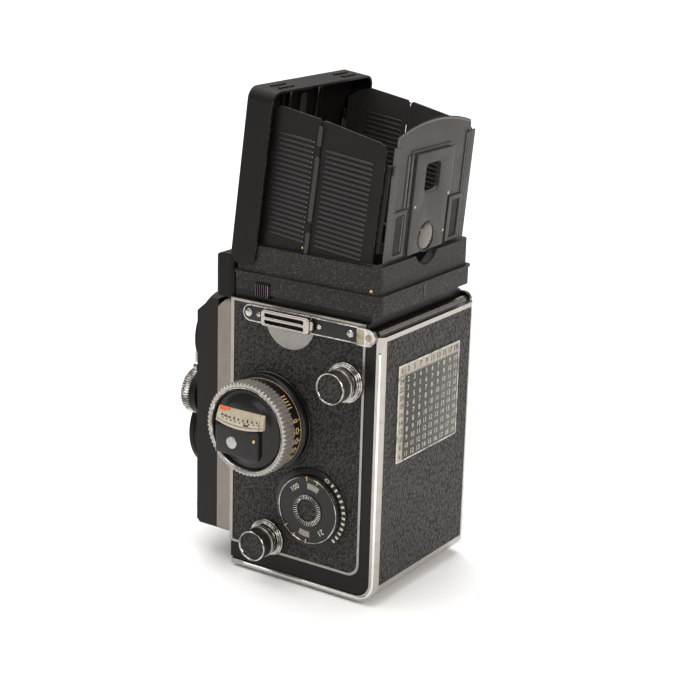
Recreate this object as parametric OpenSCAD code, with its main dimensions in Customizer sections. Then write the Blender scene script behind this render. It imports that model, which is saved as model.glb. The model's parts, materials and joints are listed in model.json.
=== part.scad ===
// Twin lens reflex camera for 6x6 roll film, hood open, lens standard racked forward.
// +Z is up, the lenses look along -Y and the focusing knob is on +X.
// The origin is the mouth of the tripod socket, in the plane the feet stand on.

/* [Body] */
// Width over the side trims
body_w = 74.7; // [74:0.1:76]
// Depth from the front edge of the side panels to the back
body_d = 76.3; // [76:0.1:77]
// Height of the side panels
body_h = 121.5; // [121:0.1:122]
// Height of the feet under the back door
foot_h = 1.5; // [1:0.1:2]
// Thickness of the leatherette and of its trims
skin_t = 1; // [0.8:0.1:1.1]

/* [Lenses] */
// Height of the taking lens axis
taking_z = 48.6; // [48:0.1:49]
// Distance between the two lens axes
lens_gap = 45; // [44:0.1:45]
// Radius of the lens bayonet rings
lens_r = 19; // [18:0.1:19.5]
// How far the standard is racked out of the body
extension = 7; // [6.8:0.1:7.2]

/* [Hood] */
// Backward lean of the lid and of the wall hinges, in degrees
lid_lean = 6.8; // [6:0.1:7]
// Backward lean of the rear panel, in degrees
panel_lean = 4.8; // [4.5:0.1:5]
// Height of the lid above its pivot
lid_h = 69; // [68:0.5:70]
// Thickness of the wall leaves
leaf_t = 0.8; // [0.6:0.1:0.9]

/* [Knobs] */
// Radius of the focusing grip
grip_r = 20.6; // [19:0.1:20.6]
// Radius of the spool knobs
knob_r = 6.8; // [6.4:0.1:7]
// Length of the crank arm between its two pivots
crank_len = 21; // [18:0.5:21.5]
// Radial clearance of turning fits
fit = 0.06; // [0.03:0.01:0.1]

/* [Hidden] */

$fn = 64;
tiny = 0.01;

// Body planes
trim_x = body_w / 2;                 // outer face of the side trims
core_x = trim_x - skin_t - 0.15;     // outer face of the casting
front_y = -body_d / 2;
back_y = body_d / 2;
bottom_z = foot_h;                   // underside of the back door
top_z = bottom_z + body_h;
door_t = 3;                          // thickness of the door's back
door_floor_t = 2.2;                  // thickness of the door's floor
rim_y = back_y - door_t - 0.4;       // rear end of the casting
floor_z = bottom_z + door_floor_t + 0.3;
wall_in_x = 33.5;                    // inside of the film chambers
trim_y = 29.3;                       // centre of the thin vertical trim
trim_z = 12.4;                       // centre of the thin lower trim
trim_w = 1.1;
neck_top = top_z + 3.6;

// Film transport
viewing_z = taking_z + lens_gap;
gate = 56;                           // side of the square film gate
gate_y = 32.3;                       // plane of the film rails
takeup = [20.9, 97];                 // axes as [y, z]
supply = [-17.3, 18.3];
spool_r = 11.6;
spool_half = 30.8;
chamber_r = 12.6;
key_r = 3.1;                         // spool keys
gear_teeth = 22;
gear_m = 1;
crank_turn_angle = 31;               // direction from the take-up axis to the crank
crank = takeup - gear_m * gear_teeth * [cos(crank_turn_angle), sin(crank_turn_angle)];
gear_x0 = -33.2;
gear_x1 = -31.4;
gear_room_r = gear_m * gear_teeth / 2 + 1.8;
counter = [-9, 103];
low_roller = [27.6, 13.2];
low_roller_r = 4;
top_roller = [29.6, 80.8];
top_roller_r = 2.2;
axle_r = 1.2;

// Door hinge at the top of the back
door_axis = [33, 118.6];
door_top = 118.7;
door_sweep_r = 5.7;                  // room that the door's top corner turns in
hinge_r = 1.2;

// Controls on the side
focus = [-17.3, 72.4];
iso = [5.4, 37.7];
strap_z = 118.2;

// Lens standard
sleeve_x = 35.4;
sleeve_t = 1;
sleeve_low = 14.3;
sleeve_top = 121.6;
chamber_front = supply[0] - chamber_r;
notch_x = 33.8;                      // notch in the sleeve's floor, clear of the supply spool
notch_y = chamber_front - extension - 1.3;
notch_top = sleeve_low + 2.7;
panel_x = 35;
panel_back = -46.7;
panel_front = -58.2;
shutter_front = -64;
wheel_x = 20.5;
wheel_r = 10.5;
wheel_z = (taking_z + viewing_z) / 2;
nose_low = 122;
nose_top = 141.1;
nose_x = 35.6;
nose_front = panel_back - 1.5;
cell_low = 125.3;
release = [-25.5, 21];               // as [x, z]
timer = [25.5, 84];
flash = [27.5, 21];

// Hood
base_low = 126.6;
base_ridge = 134.9;
base_top = 146.7;
well_x = 31.4;
well_y0 = -29.5;
well_y1 = 30.5;
pivot = [-32.2, 143.5];              // lid pivot as [y, z]
lid_d = 12.4;                        // depth of the lid's flanges
lid_x = 37.2;
lid_t = 0.9;
leaf_x = 33;                         // inner face of the wall leaves
inner_axis_x = 32.6;                 // hinges at the lid and at the rear panel
outer_axis_x = 34;                   // hinge between a front and a rear leaf
lid_v = -3.8;                        // hinge places measured across the lean
rear_v = 61.9;
mid_v = (lid_v + rear_v) / 2;
wall_low = base_top + 0.5;
knuckle_r = 0.9;
wire_r = 0.45;
panel_foot = [33.2, 147.4];          // lower outer edge of the rear panel
panel_half = 31.9;
panel_t = 1;
eyepiece_h = 6.7;
eyepiece_x = 1.3;
magnifier_u = 50;                    // height of the magnifier's hinge up the lid

// A solid along X with a profile drawn in Y and Z
module along_x(x0, x1) {
    translate([x0, 0, 0]) rotate([90, 0, 90]) linear_extrude(x1 - x0) children();
}

// A solid along Y with a profile drawn in X and Z
module along_y(y0, y1) {
    translate([0, y1, 0]) rotate([90, 0, 0]) linear_extrude(y1 - y0) children();
}

// A round bar along X about the axis p = [y, z]
module bar_x(r, x0, x1, p) {
    translate([x0, p[0], p[1]]) rotate([0, 90, 0]) cylinder(r = r, h = x1 - x0);
}

// A round bar along Y about the axis p = [x, z]
module bar_y(r, y0, y1, p) {
    translate([p[0], y1, p[1]]) rotate([90, 0, 0]) cylinder(r = r, h = y1 - y0);
}

module box(low, high) {
    translate(low) cube(high - low);
}

// A rectangle with four rounded corners
module round_rect(low, high, r) {
    translate([low[0] + r, low[1]]) square([high[0] - low[0] - 2 * r, high[1] - low[1]]);
    translate([low[0], low[1] + r]) square([high[0] - low[0], high[1] - low[1] - 2 * r]);
    for (x = [low[0] + r, high[0] - r], y = [low[1] + r, high[1] - r])
        translate([x, y]) circle(r);
}

// A side view rectangle with its lower rear corner rounded
module heel(low, high, r) {
    translate(low) square([high[0] - low[0] - r, high[1] - low[1]]);
    translate([low[0], low[1] + r]) square([high[0] - low[0], high[1] - low[1] - r]);
    translate([high[0] - r, low[1] + r]) circle(r);
}

// Both sides of the body
module both_sides() {
    children();
    mirror([1, 0, 0]) children();
}

// The room that the top of the door needs when it opens
module door_room(x0, x1) {
    difference() {
        bar_x(door_sweep_r, x0, x1, door_axis);
        box([x0 - 1, 0, 100], [x1 + 1, door_axis[0] - 2.3, 140]);
        box([x0 - 1, 0, 100], [x1 + 1, rim_y, door_axis[1] - 2.1]);
    }
}

module door_ears() {
    both_sides() difference() {
        union() {
            bar_x(1.9, core_x - 1.3, core_x, door_axis);
            box([core_x - 1.3, 30, 116.2], [core_x, 33, 118.6]);
        }
        bar_x(hinge_r + fit, core_x - 2, core_x + 1, door_axis);
    }
}

// ---- Body ----

module film_rooms() {
    // supply chamber, open below, and the path along the floor
    bar_x(chamber_r, -wall_in_x, wall_in_x, supply);
    box([-wall_in_x, supply[0] - chamber_r, 0], [wall_in_x, supply[0] + chamber_r, supply[1]]);
    box([-wall_in_x, supply[0], 0], [wall_in_x, rim_y + 1, 9]);
    // lower roller's corner
    bar_x(low_roller_r + 0.8, -wall_in_x, wall_in_x, low_roller);
    box([-wall_in_x, low_roller[0] - 4.8, 0], [wall_in_x, rim_y + 1, low_roller[1]]);
    // plane of the pressure plate
    box([-wall_in_x, gate_y, 0], [wall_in_x, rim_y + 1, 110.2]);
    // upper roller
    bar_x(top_roller_r + 0.5, -wall_in_x, wall_in_x, top_roller);
    box([-wall_in_x, top_roller[0], top_roller[1] - 2.7], [wall_in_x, rim_y, top_roller[1] + 2.7]);
    // take-up chamber
    bar_x(chamber_r, -wall_in_x, wall_in_x, takeup);
    box([-wall_in_x, takeup[0], takeup[1] - chamber_r],
        [wall_in_x, rim_y + 1, takeup[1] + chamber_r]);
}

module light_rooms() {
    // dark chamber behind the taking lens
    box([-24, front_y - 1, 31.9], [24, 0, 68.5]);
    box([-gate / 2, -tiny, taking_z - gate / 2], [gate / 2, gate_y + 1, taking_z + gate / 2]);
    // mirror chamber over the slope of the mirror
    along_x(-29.5, 29.5) polygon([[front_y - 1, 72], [-23, 72], [28.5, 123.5],
        [28.5, neck_top + 1], [-29, neck_top + 1], [-29, 118], [front_y - 1, 118]]);
}

module body_casting() {
    color([0.07, 0.07, 0.07]) difference() {
        union() {
            along_x(-core_x, core_x) heel([front_y, floor_z], [rim_y, top_z], 7);
            box([-34.6, front_y + 0.6, top_z - tiny], [34.6, 31, neck_top]);
            // painted bands behind and below the leatherette
            both_sides() along_x(core_x - tiny, core_x + 0.75) difference() {
                heel([front_y + 1.6, floor_z], [rim_y, top_z], 7);
                heel([front_y - 5, trim_z - trim_w / 2], [trim_y + trim_w / 2, top_z + 9], 6);
            }
        }
        film_rooms();
        light_rooms();
        // slot that the sleeve of the lens standard slides in
        difference() {
            along_y(front_y - 1, -21) difference() {
                round_rect([-sleeve_x - 0.2, sleeve_low - 0.2],
                    [sleeve_x + 0.2, sleeve_top + 0.2], 2);
                round_rect([-sleeve_x + sleeve_t + 0.2, sleeve_low + sleeve_t + 0.2],
                    [sleeve_x - sleeve_t - 0.2, sleeve_top - sleeve_t - 0.2], 1);
            }
            // the front wall of the supply chamber stays closed
            box([-notch_x + 0.2, chamber_front - 0.7, 0], [notch_x - 0.2, 0, notch_top + 1]);
        }
        // room for the two winding gears
        bar_x(gear_room_r, gear_x0 - 0.3, gear_x1 + 0.3, takeup);
        bar_x(gear_room_r, gear_x0 - 0.3, gear_x1 + 0.3, crank);
        bar_x(3 + fit, -core_x - 2, gear_x0, crank);
        // frame counter
        bar_x(8.3, -core_x - 1, -core_x + 1.6, counter);
        bar_x(1.5 + fit, -core_x, -31, counter);
        // roller axles
        bar_x(axle_r + fit, -core_x + 0.8, core_x - 0.8, low_roller);
        bar_x(axle_r + fit, -core_x + 0.8, core_x - 0.8, top_roller);
        // spool keys and knobs
        bar_x(key_r + fit, wall_in_x - 1, core_x + 2, takeup);
        bar_x(key_r + fit, wall_in_x - 1, core_x + 2, supply);
        // shafts of the focusing knob and the film speed dial
        bar_x(4, wall_in_x - 2, core_x + 1, focus);
        bar_x(2 + fit, wall_in_x - 3, core_x + 1, iso);
        door_room(-core_x - 2, core_x + 2);
    }
    color([0.07, 0.07, 0.07]) door_ears();
    // fixed key of the supply spool
    color([0.07, 0.07, 0.07]) bar_x(key_r, -wall_in_x - 1, -spool_half + 4, supply);
}

module mirror_plate() {
    // silvered plate on the slope under the viewing lens
    color([0.8, 0.83, 0.85]) along_x(-27, 27)
        polygon([[-19, 76 + tiny], [23.5, 118.5 + tiny], [22.4, 119.6], [-20.1, 77.1]]);
}

module focusing_screen() {
    color([0.75, 0.78, 0.78])
        box([-29.3, -28.8, neck_top - 3.4], [29.3, 28.3, neck_top - 1.6]);
}

// Leatherette of one side
module skin() {
    difference() {
        along_x(core_x, core_x + skin_t) heel([front_y + 1.6, trim_z + trim_w / 2],
            [trim_y - trim_w / 2, top_z - 1.1], 5);
        door_room(core_x - 1, core_x + 2);
    }
}

module side_leather() {
    color([0.09, 0.085, 0.08]) {
        difference() {
            skin();
            for (p = [takeup, supply]) bar_x(key_r + 0.3, core_x - 1, core_x + 2, p);
            bar_x(4, core_x - 1, core_x + 2, focus);
            bar_x(2 + fit, core_x - 1, core_x + 2, iso);
        }
        difference() {
            mirror([1, 0, 0]) skin();
            bar_x(3.3, -core_x - 2, -core_x + 1, crank);
            // window over the frame counter
            bar_x(2, -core_x - 2, -core_x + 1, counter + [4.6, 0]);
        }
    }
}

module side_trims() {
    color([0.78, 0.76, 0.72]) both_sides() difference() {
        along_x(core_x, trim_x) difference() {
            heel([front_y, trim_z - trim_w / 2], [trim_y + trim_w / 2, top_z], 6);
            heel([front_y + 1.6, trim_z + trim_w / 2], [trim_y - trim_w / 2, top_z - 1.1], 5);
        }
        door_room(core_x - 1, trim_x + 1);
    }
}

// Strap rails under the hood, with a half round plate below each clip
module strap_plates() {
    color([0.75, 0.74, 0.7]) both_sides() {
        along_x(trim_x + 0.05, trim_x + 1) {
            translate([-27.5, strap_z]) circle(3.7);
            translate([-27.5, strap_z - 3.7]) square([54.2, 7.4]);
        }
        along_x(core_x + skin_t, trim_x + 0.3) difference() {
            translate([-7.4, strap_z]) circle(12.6);
            translate([-30, strap_z]) square(40);
        }
        bar_x(1.8, trim_x + 1, trim_x + 1.9, [-28.1, strap_z]);
        bar_x(1.2, trim_x + 1, trim_x + 1.7, [-22.9, strap_z]);
        bar_x(1.2, trim_x + 1, trim_x + 1.7, [7.6, strap_z]);
        bar_x(1.7, trim_x + 1, trim_x + 1.9, [23, strap_z]);
    }
}

module strap_clips() {
    color([0.8, 0.78, 0.74]) both_sides() difference() {
        along_x(trim_x + 1, trim_x + 4.6) round_rect([-19.4, 114.9], [4.8, 121.9], 1.6);
        for (z = [116.2, 118.9])
            along_x(trim_x + 2, trim_x + 6) round_rect([-17.6, z], [1.8, z + 1.5], 0.7);
    }
}

module nose_housing() {
    color([0.06, 0.06, 0.06]) {
        difference() {
            intersection() {
                translate([0, 0, nose_low]) linear_extrude(nose_top - nose_low)
                    round_rect([-nose_x, nose_front], [nose_x, front_y], 2.5);
                along_x(-nose_x, nose_x)
                    round_rect([nose_front, nose_low - 9], [front_y + 9, nose_top], 4);
            }
            // seat of the light cell
            box([-30, nose_front - 1, cell_low], [30, nose_front + 1.2, cell_low + 13]);
        }
        // foot on the neck of the body
        box([-30, front_y - 0.5, top_z], [30, front_y + 0.6, neck_top]);
    }
}

module meter_cell() {
    // ribbed light cell behind a bezel
    color([0.85, 0.85, 0.8]) {
        box([-30, nose_front + 0.5, cell_low], [30, nose_front + 1.2, cell_low + 13]);
        for (i = [-14:14])
            bar_z(0.6, cell_low, cell_low + 11.4, [2 * i, nose_front + 0.5]);
    }
}

module bar_z(r, z0, z1, p) {
    translate([p[0], p[1], z0]) cylinder(r = r, h = z1 - z0, $fn = 24);
}

// ---- Focusing knob with the exposure meter ----

module focus_flange() {
    color([0.08, 0.08, 0.08]) difference() {
        union() {
            bar_x(21.8, trim_x + 0.05, core_x + skin_t + 1.4, focus);
            bar_x(4, wall_in_x - 1.9, 52.4, focus);
        }
        bar_x(2, wall_in_x - 3, 53, focus);
    }
}

module focus_scale_ring() {
    color([0.05, 0.05, 0.05]) difference() {
        union() {
            bar_x(21.2, 39.2, 41.4, focus);
            bar_x(19.4, 41.4, 47.2, focus);
        }
        bar_x(4 + fit, 38, 49, focus);
    }
}

module focus_grip() {
    flutes = 44;
    color([0.78, 0.77, 0.74]) translate([0, focus[0], focus[1]]) difference() {
        bar_x(grip_r, 47.2, 54.4, [0, 0]);
        bar_x(4 + fit, 46, 52.2, [0, 0]);
        bar_x(17.9, 52.1, 56, [0, 0]);
        for (i = [0:flutes - 1]) rotate([i * 360 / flutes, 0, 0])
            box([46, grip_r - 0.7, -0.55], [53.2, grip_r + 1, 0.55]);
    }
}

// Fixed face in the knob: a dish with the meter's block across it
module meter_readout() {
    color([0.05, 0.05, 0.05]) translate([0, focus[0], focus[1]]) difference() {
        union() {
            bar_x(17.5, 52.5, 54.8, [0, 0]);
            box([54.7, -12.4, -11.5], [57.6, 12.4, 6]);
            bar_x(1.9, 34, 53, [0, 0]);
        }
        // room for the needle under the window
        box([55.2, -11.4, -7], [58, 11.4, 5]);
    }
    color([0.05, 0.05, 0.05]) bar_x(0.3, 55, 56.8, focus - [0, 4]);
    // cover over the needle's pivot
    color([0.05, 0.05, 0.05])
        box([56.7, focus[0] - 12.4, focus[1] - 11.5], [57.9, focus[0] + 12.4, focus[1] - 0.2]);
}

module meter_window() {
    color([0.85, 0.82, 0.7])
        box([56.7, focus[0] - 11.2, focus[1]], [58, focus[0] + 11.2, focus[1] + 4.8]);
}

module meter_needle() {
    color([0.85, 0.2, 0.08]) difference() {
        union() {
            bar_x(0.9, 55.7, 56.2, focus - [0, 4]);
            box([55.7, focus[0] - 0.3, focus[1] - 4], [56.1, focus[0] + 0.3, focus[1] + 4.2]);
        }
        bar_x(0.35, 55, 57, focus - [0, 4]);
    }
}

// ---- Film speed dial ----

module film_speed_scale() {
    color([0.06, 0.06, 0.06]) difference() {
        bar_x(18, core_x + skin_t, 38.3, iso);
        bar_x(2 + fit, 36, 39, iso);
    }
}

module film_speed_dial() {
    color([0.06, 0.06, 0.06]) {
        bar_x(15.4, 38.5, 40.6, iso);
        bar_x(6.8, 40.6, 41.3, iso);
        bar_x(2, wall_in_x, 38.6, iso);
    }
}

// ---- Spools and their knobs ----

module knob_flanges() {
    color([0.8, 0.79, 0.76]) for (p = [takeup, supply]) difference() {
        union() {
            bar_x(8.7, trim_x + 0.05, trim_x + 1.9, p);
            bar_x(7.6, trim_x + 1.9, trim_x + 2.6, p);
        }
        bar_x(key_r + fit, 36, 41, p);
        // cut along the thin trims
        box([trim_x, trim_y + trim_w / 2, 0], [trim_x + 3, back_y, top_z]);
        box([trim_x, front_y, 0], [trim_x + 3, back_y, trim_z - trim_w / 2]);
    }
}

module spool_knob(p) {
    color([0.75, 0.74, 0.7]) {
        bar_x(key_r, spool_half - 3.4, 42, p);
        bar_x(knob_r - 1, 40.3, 41.2, p);
        difference() {
            bar_x(knob_r, 41.2, 49.4, p);
            bar_x(knob_r - 0.6, 48.9, 50, p);
        }
        for (x = [41.5, 42.8]) bar_x(knob_r + 0.25, x, x + 0.6, p);
    }
}

module upper_spool_knob() { spool_knob(takeup); }

module lower_spool_knob() { spool_knob(supply); }

module spool(p) {
    color([0.3, 0.3, 0.3]) difference() {
        union() {
            bar_x(5.6, -spool_half, spool_half, p);
            for (x = [-spool_half, spool_half - 1.1]) bar_x(spool_r, x, x + 1.1, p);
        }
        for (x = [-spool_half - 1, spool_half - 4.2]) bar_x(key_r + fit, x, x + 5.2, p);
    }
}

module takeup_spool() { spool(takeup); }

module supply_spool() { spool(supply); }

// One tooth of a winding gear, drawn beyond the root circle
module tooth() {
    pitch_r = gear_m * gear_teeth / 2;
    polygon([[pitch_r - 1.6, -0.85], [pitch_r, -0.62], [pitch_r + 0.75, -0.32],
        [pitch_r + 0.75, 0.32], [pitch_r, 0.62], [pitch_r - 1.6, 0.85]]);
}

module gear(p, phase) {
    translate([0, p[0], p[1]]) along_x(gear_x0, gear_x1) {
        circle(gear_m * gear_teeth / 2 - 1.3);
        for (i = [0:gear_teeth - 1]) rotate(phase + i * 360 / gear_teeth) tooth();
    }
}

module takeup_gear() {
    color([0.6, 0.55, 0.4]) {
        gear(takeup, crank_turn_angle + 180);
        bar_x(key_r, gear_x1, -spool_half + 4, takeup);
    }
}

module crank_hub() {
    color([0.7, 0.69, 0.66]) {
        gear(crank, crank_turn_angle + 180 / gear_teeth);
        bar_x(3, -core_x - 2, gear_x0, crank);
        bar_x(9.5, -40.7, -core_x - 1.4, crank);
        // two lugs that hold the arm's pin
        difference() {
            for (z = [-6.4, 4.2])
                box([-45, crank[0] - 2.2, crank[1] + z], [-40.6, crank[0] + 2.2, crank[1] + z + 2.2]);
            arm_pin(1);
        }
    }
}

// The pin of the folding arm, parallel to Z, with g added to its radius
module arm_pin(g) {
    r = g > 0 ? 1 + fit : 1;
    translate([-43, crank[0], crank[1] - 6.6]) cylinder(r = r, h = 13.2);
}

module crank_arm() {
    tip = crank[0] - crank_len;
    color([0.72, 0.71, 0.68]) {
        arm_pin(0);
        difference() {
            union() {
                translate([-43, crank[0], crank[1] - 4]) cylinder(r = 1.9, h = 8);
                along_x(-44.4, -42.4) {
                    translate([tip, crank[1]]) circle(4.4);
                    translate([tip, crank[1] - 4]) square([crank_len, 8]);
                }
            }
            bar_x(1.3 + fit, -46, -41, [tip, crank[1]]);
        }
    }
}

module crank_grip() {
    tip = [crank[0] - crank_len, crank[1]];
    color([0.06, 0.06, 0.06]) {
        bar_x(4.2, -42.2, -38, tip);
        bar_x(1.3, -44.9, -42.1, tip);
        bar_x(2.2, -45.4, -44.7, tip);
    }
}

module counter_dial() {
    color([0.85, 0.85, 0.82]) {
        bar_x(8, -core_x + 0.2, -core_x + 1.3, counter);
        bar_x(1.5, -core_x + 1, -32, counter);
    }
}

module roller(p, r) {
    color([0.7, 0.7, 0.7]) {
        bar_x(r, -wall_in_x + 0.5, wall_in_x - 0.5, p);
        bar_x(axle_r, -core_x + 1.2, core_x - 1.2, p);
    }
}

module lower_roller() { roller(low_roller, low_roller_r); }

module upper_roller() { roller(top_roller, top_roller_r); }

// ---- Back door ----

module back_door() {
    color([0.78, 0.76, 0.72]) difference() {
        union() {
            intersection() {
                along_x(-trim_x, trim_x) difference() {
                    heel([front_y + 1.2, bottom_z], [back_y, door_top], 9);
                    heel([front_y - 9, bottom_z + door_floor_t],
                        [back_y - door_t, door_top + 9], 7);
                }
                // rounded upright corners
                linear_extrude(130) translate([-trim_x, -60]) square([body_w, 60 + back_y - 3.4]);
            }
            intersection() {
                along_x(-trim_x, trim_x) difference() {
                    heel([front_y, bottom_z], [back_y, door_top], 9);
                    heel([front_y - 9, bottom_z + door_floor_t],
                        [back_y - door_t, door_top + 9], 7);
                }
                linear_extrude(130) round_rect([-trim_x, 0], [trim_x, back_y], 3);
            }
            bar_x(2, -core_x + 1.5, core_x - 1.5, door_axis);
            box([-core_x + 1.5, door_axis[0], door_axis[1] - 2], [core_x - 1.5, back_y - 1, door_top]);
        }
        bar_x(hinge_r + fit, -40, 40, door_axis);
        // recess for the leatherette
        box([-34, back_y - 0.6, 9.5], [34, back_y + 1, door_top - 2]);
        // recess for the latch ring and the socket
        translate([0, 0, bottom_z - 1]) cylinder(r = 9.4, h = 2.2);
        translate([0, 0, bottom_z - 1]) cylinder(r = 5, h = 5);
    }
}

module door_leather() {
    color([0.09, 0.085, 0.08]) box([-33.9, back_y - 0.6, 9.6], [33.9, back_y + 0.1, door_top - 2.1]);
}

module exposure_table() {
    color([0.8, 0.76, 0.66]) along_y(back_y + 0.1, back_y + 0.6)
        round_rect([-24.7, 61.2], [24.7, 104], 1);
}

module door_hinge_pin() {
    color([0.8, 0.78, 0.74]) {
        bar_x(hinge_r, -trim_x - 0.2, trim_x + 0.2, door_axis);
        both_sides() along_x(trim_x + 0.1, trim_x + 1.9) {
            translate([31.8, strap_z]) circle(3.7);
            translate([26.75, strap_z - 3.7]) square([5.05, 7.4]);
        }
    }
}

module tripod_socket() {
    color([0.7, 0.7, 0.7]) difference() {
        union() {
            cylinder(r = 5, h = 3.2);
            cylinder(r = 4.2, h = 8.2);
        }
        translate([0, 0, -1]) cylinder(r = 2.6, h = 7.5);
    }
}

module feet() {
    color([0.7, 0.68, 0.64]) for (x = [-26, 26], y = [-24, 27])
        translate([x, y, 0]) {
            cylinder(r1 = 2.2, r2 = 2.8, h = 0.6);
            translate([0, 0, 0.6 - tiny]) cylinder(r = 2.8, h = foot_h - 0.6 + tiny);
        }
}

module pressure_plate() {
    color([0.08, 0.08, 0.08]) {
        box([-31, gate_y + 0.3, 21], [31, gate_y + 1.3, 76.5]);
        for (z = [35, 62]) bar_y(2, gate_y + 1.2, gate_y + 1.7, [0, z]);
    }
}

// Locking ring round the socket with its lever
module door_latch() {
    color([0.75, 0.74, 0.7]) difference() {
        union() {
            translate([0, 0, 0.3]) cylinder(r = 9.1, h = 2.1);
            translate([-2.2, -15, 0.3]) cube([4.4, 8, foot_h - 0.5]);
        }
        translate([0, 0, -1]) cylinder(r = 5 + fit, h = 5);
    }
}

// ---- Hood ----

// A point v across and u along the lean, as [y, z]
function leaned(v, u) = pivot + [v * cos(lid_lean) + u * sin(lid_lean),
    u * cos(lid_lean) - v * sin(lid_lean)];

// How far up the lean the height z is reached at v
function rise(v, z) = (z - pivot[1] + v * sin(lid_lean)) / cos(lid_lean);

module in_lean() {
    translate([0, pivot[0], pivot[1]]) rotate([-lid_lean, 0, 0]) children();
}

module hood_base() {
    color([0.06, 0.06, 0.06]) difference() {
        union() {
            translate([0, 0, base_low]) linear_extrude(base_ridge - base_low - 0.6)
                round_rect([-36.7, -37.8], [36.7, 35.5], 3);
            translate([0, 0, base_ridge - 0.7]) linear_extrude(0.9)
                round_rect([-37.2, -38], [37.2, 36], 3);
            translate([0, 0, base_ridge + 0.1]) linear_extrude(base_top - base_ridge - 0.1)
                round_rect([-35.9, -37.6], [35.9, 34.6], 3.4);
        }
        box([-well_x, well_y0, base_low - 1], [well_x, well_y1, base_top + 1]);
        // tracks of the two catches
        both_sides() box([34.7, -39, base_low - 1], [40, -18.3, 131.9]);
        // dip in front of the rear eyepiece
        bar_y(9.5, 30, 40, [0, base_top + 4.5]);
    }
    // lid pivots
    color([0.06, 0.06, 0.06]) both_sides() bar_x(1.6, 35.7, lid_x - 0.5, pivot);
}

// Lid: a tray with the two flanges that carry its pivots
module hood_lid() {
    inner = lid_x - lid_t;
    color([0.04, 0.04, 0.04]) in_lean() difference() {
        union() {
            difference() {
                along_y(-lid_d / 2, lid_d / 2)
                    round_rect([-lid_x, 0], [lid_x, lid_h], 5);
                along_y(-lid_d / 2 + 1.2, lid_d)
                    round_rect([-inner, -9], [inner, lid_h - lid_t], 4.2);
                box([-inner, -9, -1], [inner, 9, 3.6]);
            }
            // flanges run down to the pivots
            both_sides() along_x(inner, lid_x) {
                circle(lid_d / 2);
                translate([-lid_d / 2, 0]) square([lid_d, 9]);
            }
            // two pairs of grip ridges on the top edge
            for (x = [-23, 23], y = [-2.6, 1.6])
                box([x - 5, y, lid_h - 0.2], [x + 5, y + 1.2, lid_h + 0.5]);
            both_sides() leaf_knuckles(0, inner_axis_x, lid_v, -1.4);
            // hinge blocks of the magnifier
            both_sides() box([6.2, -lid_d / 2 + 1, magnifier_u - 1.6],
                [8.2, lid_v + 1.9, magnifier_u + 1.6]);
        }
        both_sides() bar_x(1.6 + fit, 34, lid_x - 0.4, [0, 0]);
        bar_x(0.8 + fit, -8.7, 8.7, [lid_v, magnifier_u]);
    }
}

// Hinge knuckles on a lean line: group 0 is the outer pair, group 1 the middle and the wire.
// The tab reaches back to its own plate, over reach along v.
module leaf_knuckles(group, x, v, reach) {
    spans = group == 0 ? [[16, 20], [48, 52]] : [[20.2, 47.8]];
    for (s = spans) {
        difference() {
            union() {
                translate([x, v, s[0]]) cylinder(r = knuckle_r, h = s[1] - s[0], $fn = 24);
                translate([x > 33.5 ? leaf_x : x - 0.4, min(v, v + reach), s[0]])
                    cube([leaf_t, abs(reach), s[1] - s[0]]);
            }
            if (group == 0) translate([x, v, 0]) cylinder(r = wire_r + 0.05, h = 70, $fn = 24);
        }
    }
    if (group == 1) translate([x, v, 16]) cylinder(r = wire_r, h = 36, $fn = 24);
}

// Lips that close the slit above and below the middle hinge's knuckles
module hinge_lips(side) {
    for (u = [[rise(mid_v, wall_low), 15.6], [52.4, rise(mid_v, 201.9)]])
        box([leaf_x, mid_v + (side < 0 ? -1.3 : 0.35), u[0]],
            [leaf_x + leaf_t, mid_v + (side < 0 ? -0.35 : 1.3), u[1]]);
}

// Leaf plates, drawn in the plane of Y and Z
module front_leaf() {
    color([0.045, 0.045, 0.045]) {
        along_x(leaf_x, leaf_x + leaf_t) polygon([
            leaned(lid_v + 1.3, rise(lid_v, wall_low)), leaned(mid_v - 1.1, rise(mid_v, wall_low)),
            leaned(mid_v - 1.1, rise(mid_v, 202.6)), [-16.5, 206],
            leaned(lid_v + 6, 61.5), leaned(lid_v + 1.3, 58)]);
        in_lean() {
            leaf_knuckles(1, inner_axis_x, lid_v, 1.4);
            leaf_knuckles(1, outer_axis_x, mid_v, -1.3);
            hinge_lips(-1);
        }
    }
}

module rear_leaf() {
    along_x(leaf_x, leaf_x + leaf_t) polygon([
        leaned(mid_v + 1.1, rise(mid_v, wall_low)), leaned(rear_v - 1.3, rise(rear_v, wall_low)),
        leaned(rear_v - 1.3, 57.5), [33.6, 195.6], [31.5, 196.7],
        leaned(mid_v + 1.1, rise(mid_v, 202.4))]);
    in_lean() {
        leaf_knuckles(0, outer_axis_x, mid_v, 1.3);
        hinge_lips(1);
    }
}

module front_leaf_right() { front_leaf(); }

module rear_leaf_right() {
    color([0.045, 0.045, 0.045]) {
        rear_leaf();
        in_lean() leaf_knuckles(1, inner_axis_x, rear_v, -1.4);
    }
}

module front_leaf_left() { mirror([1, 0, 0]) front_leaf(); }

// The left rear leaf has no rear knuckles: the linkage is open there
module rear_leaf_left() {
    color([0.045, 0.045, 0.045]) mirror([1, 0, 0]) rear_leaf();
}

module in_panel() {
    translate([0, panel_foot[0], panel_foot[1]]) rotate([-panel_lean, 0, 0]) children();
}

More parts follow.
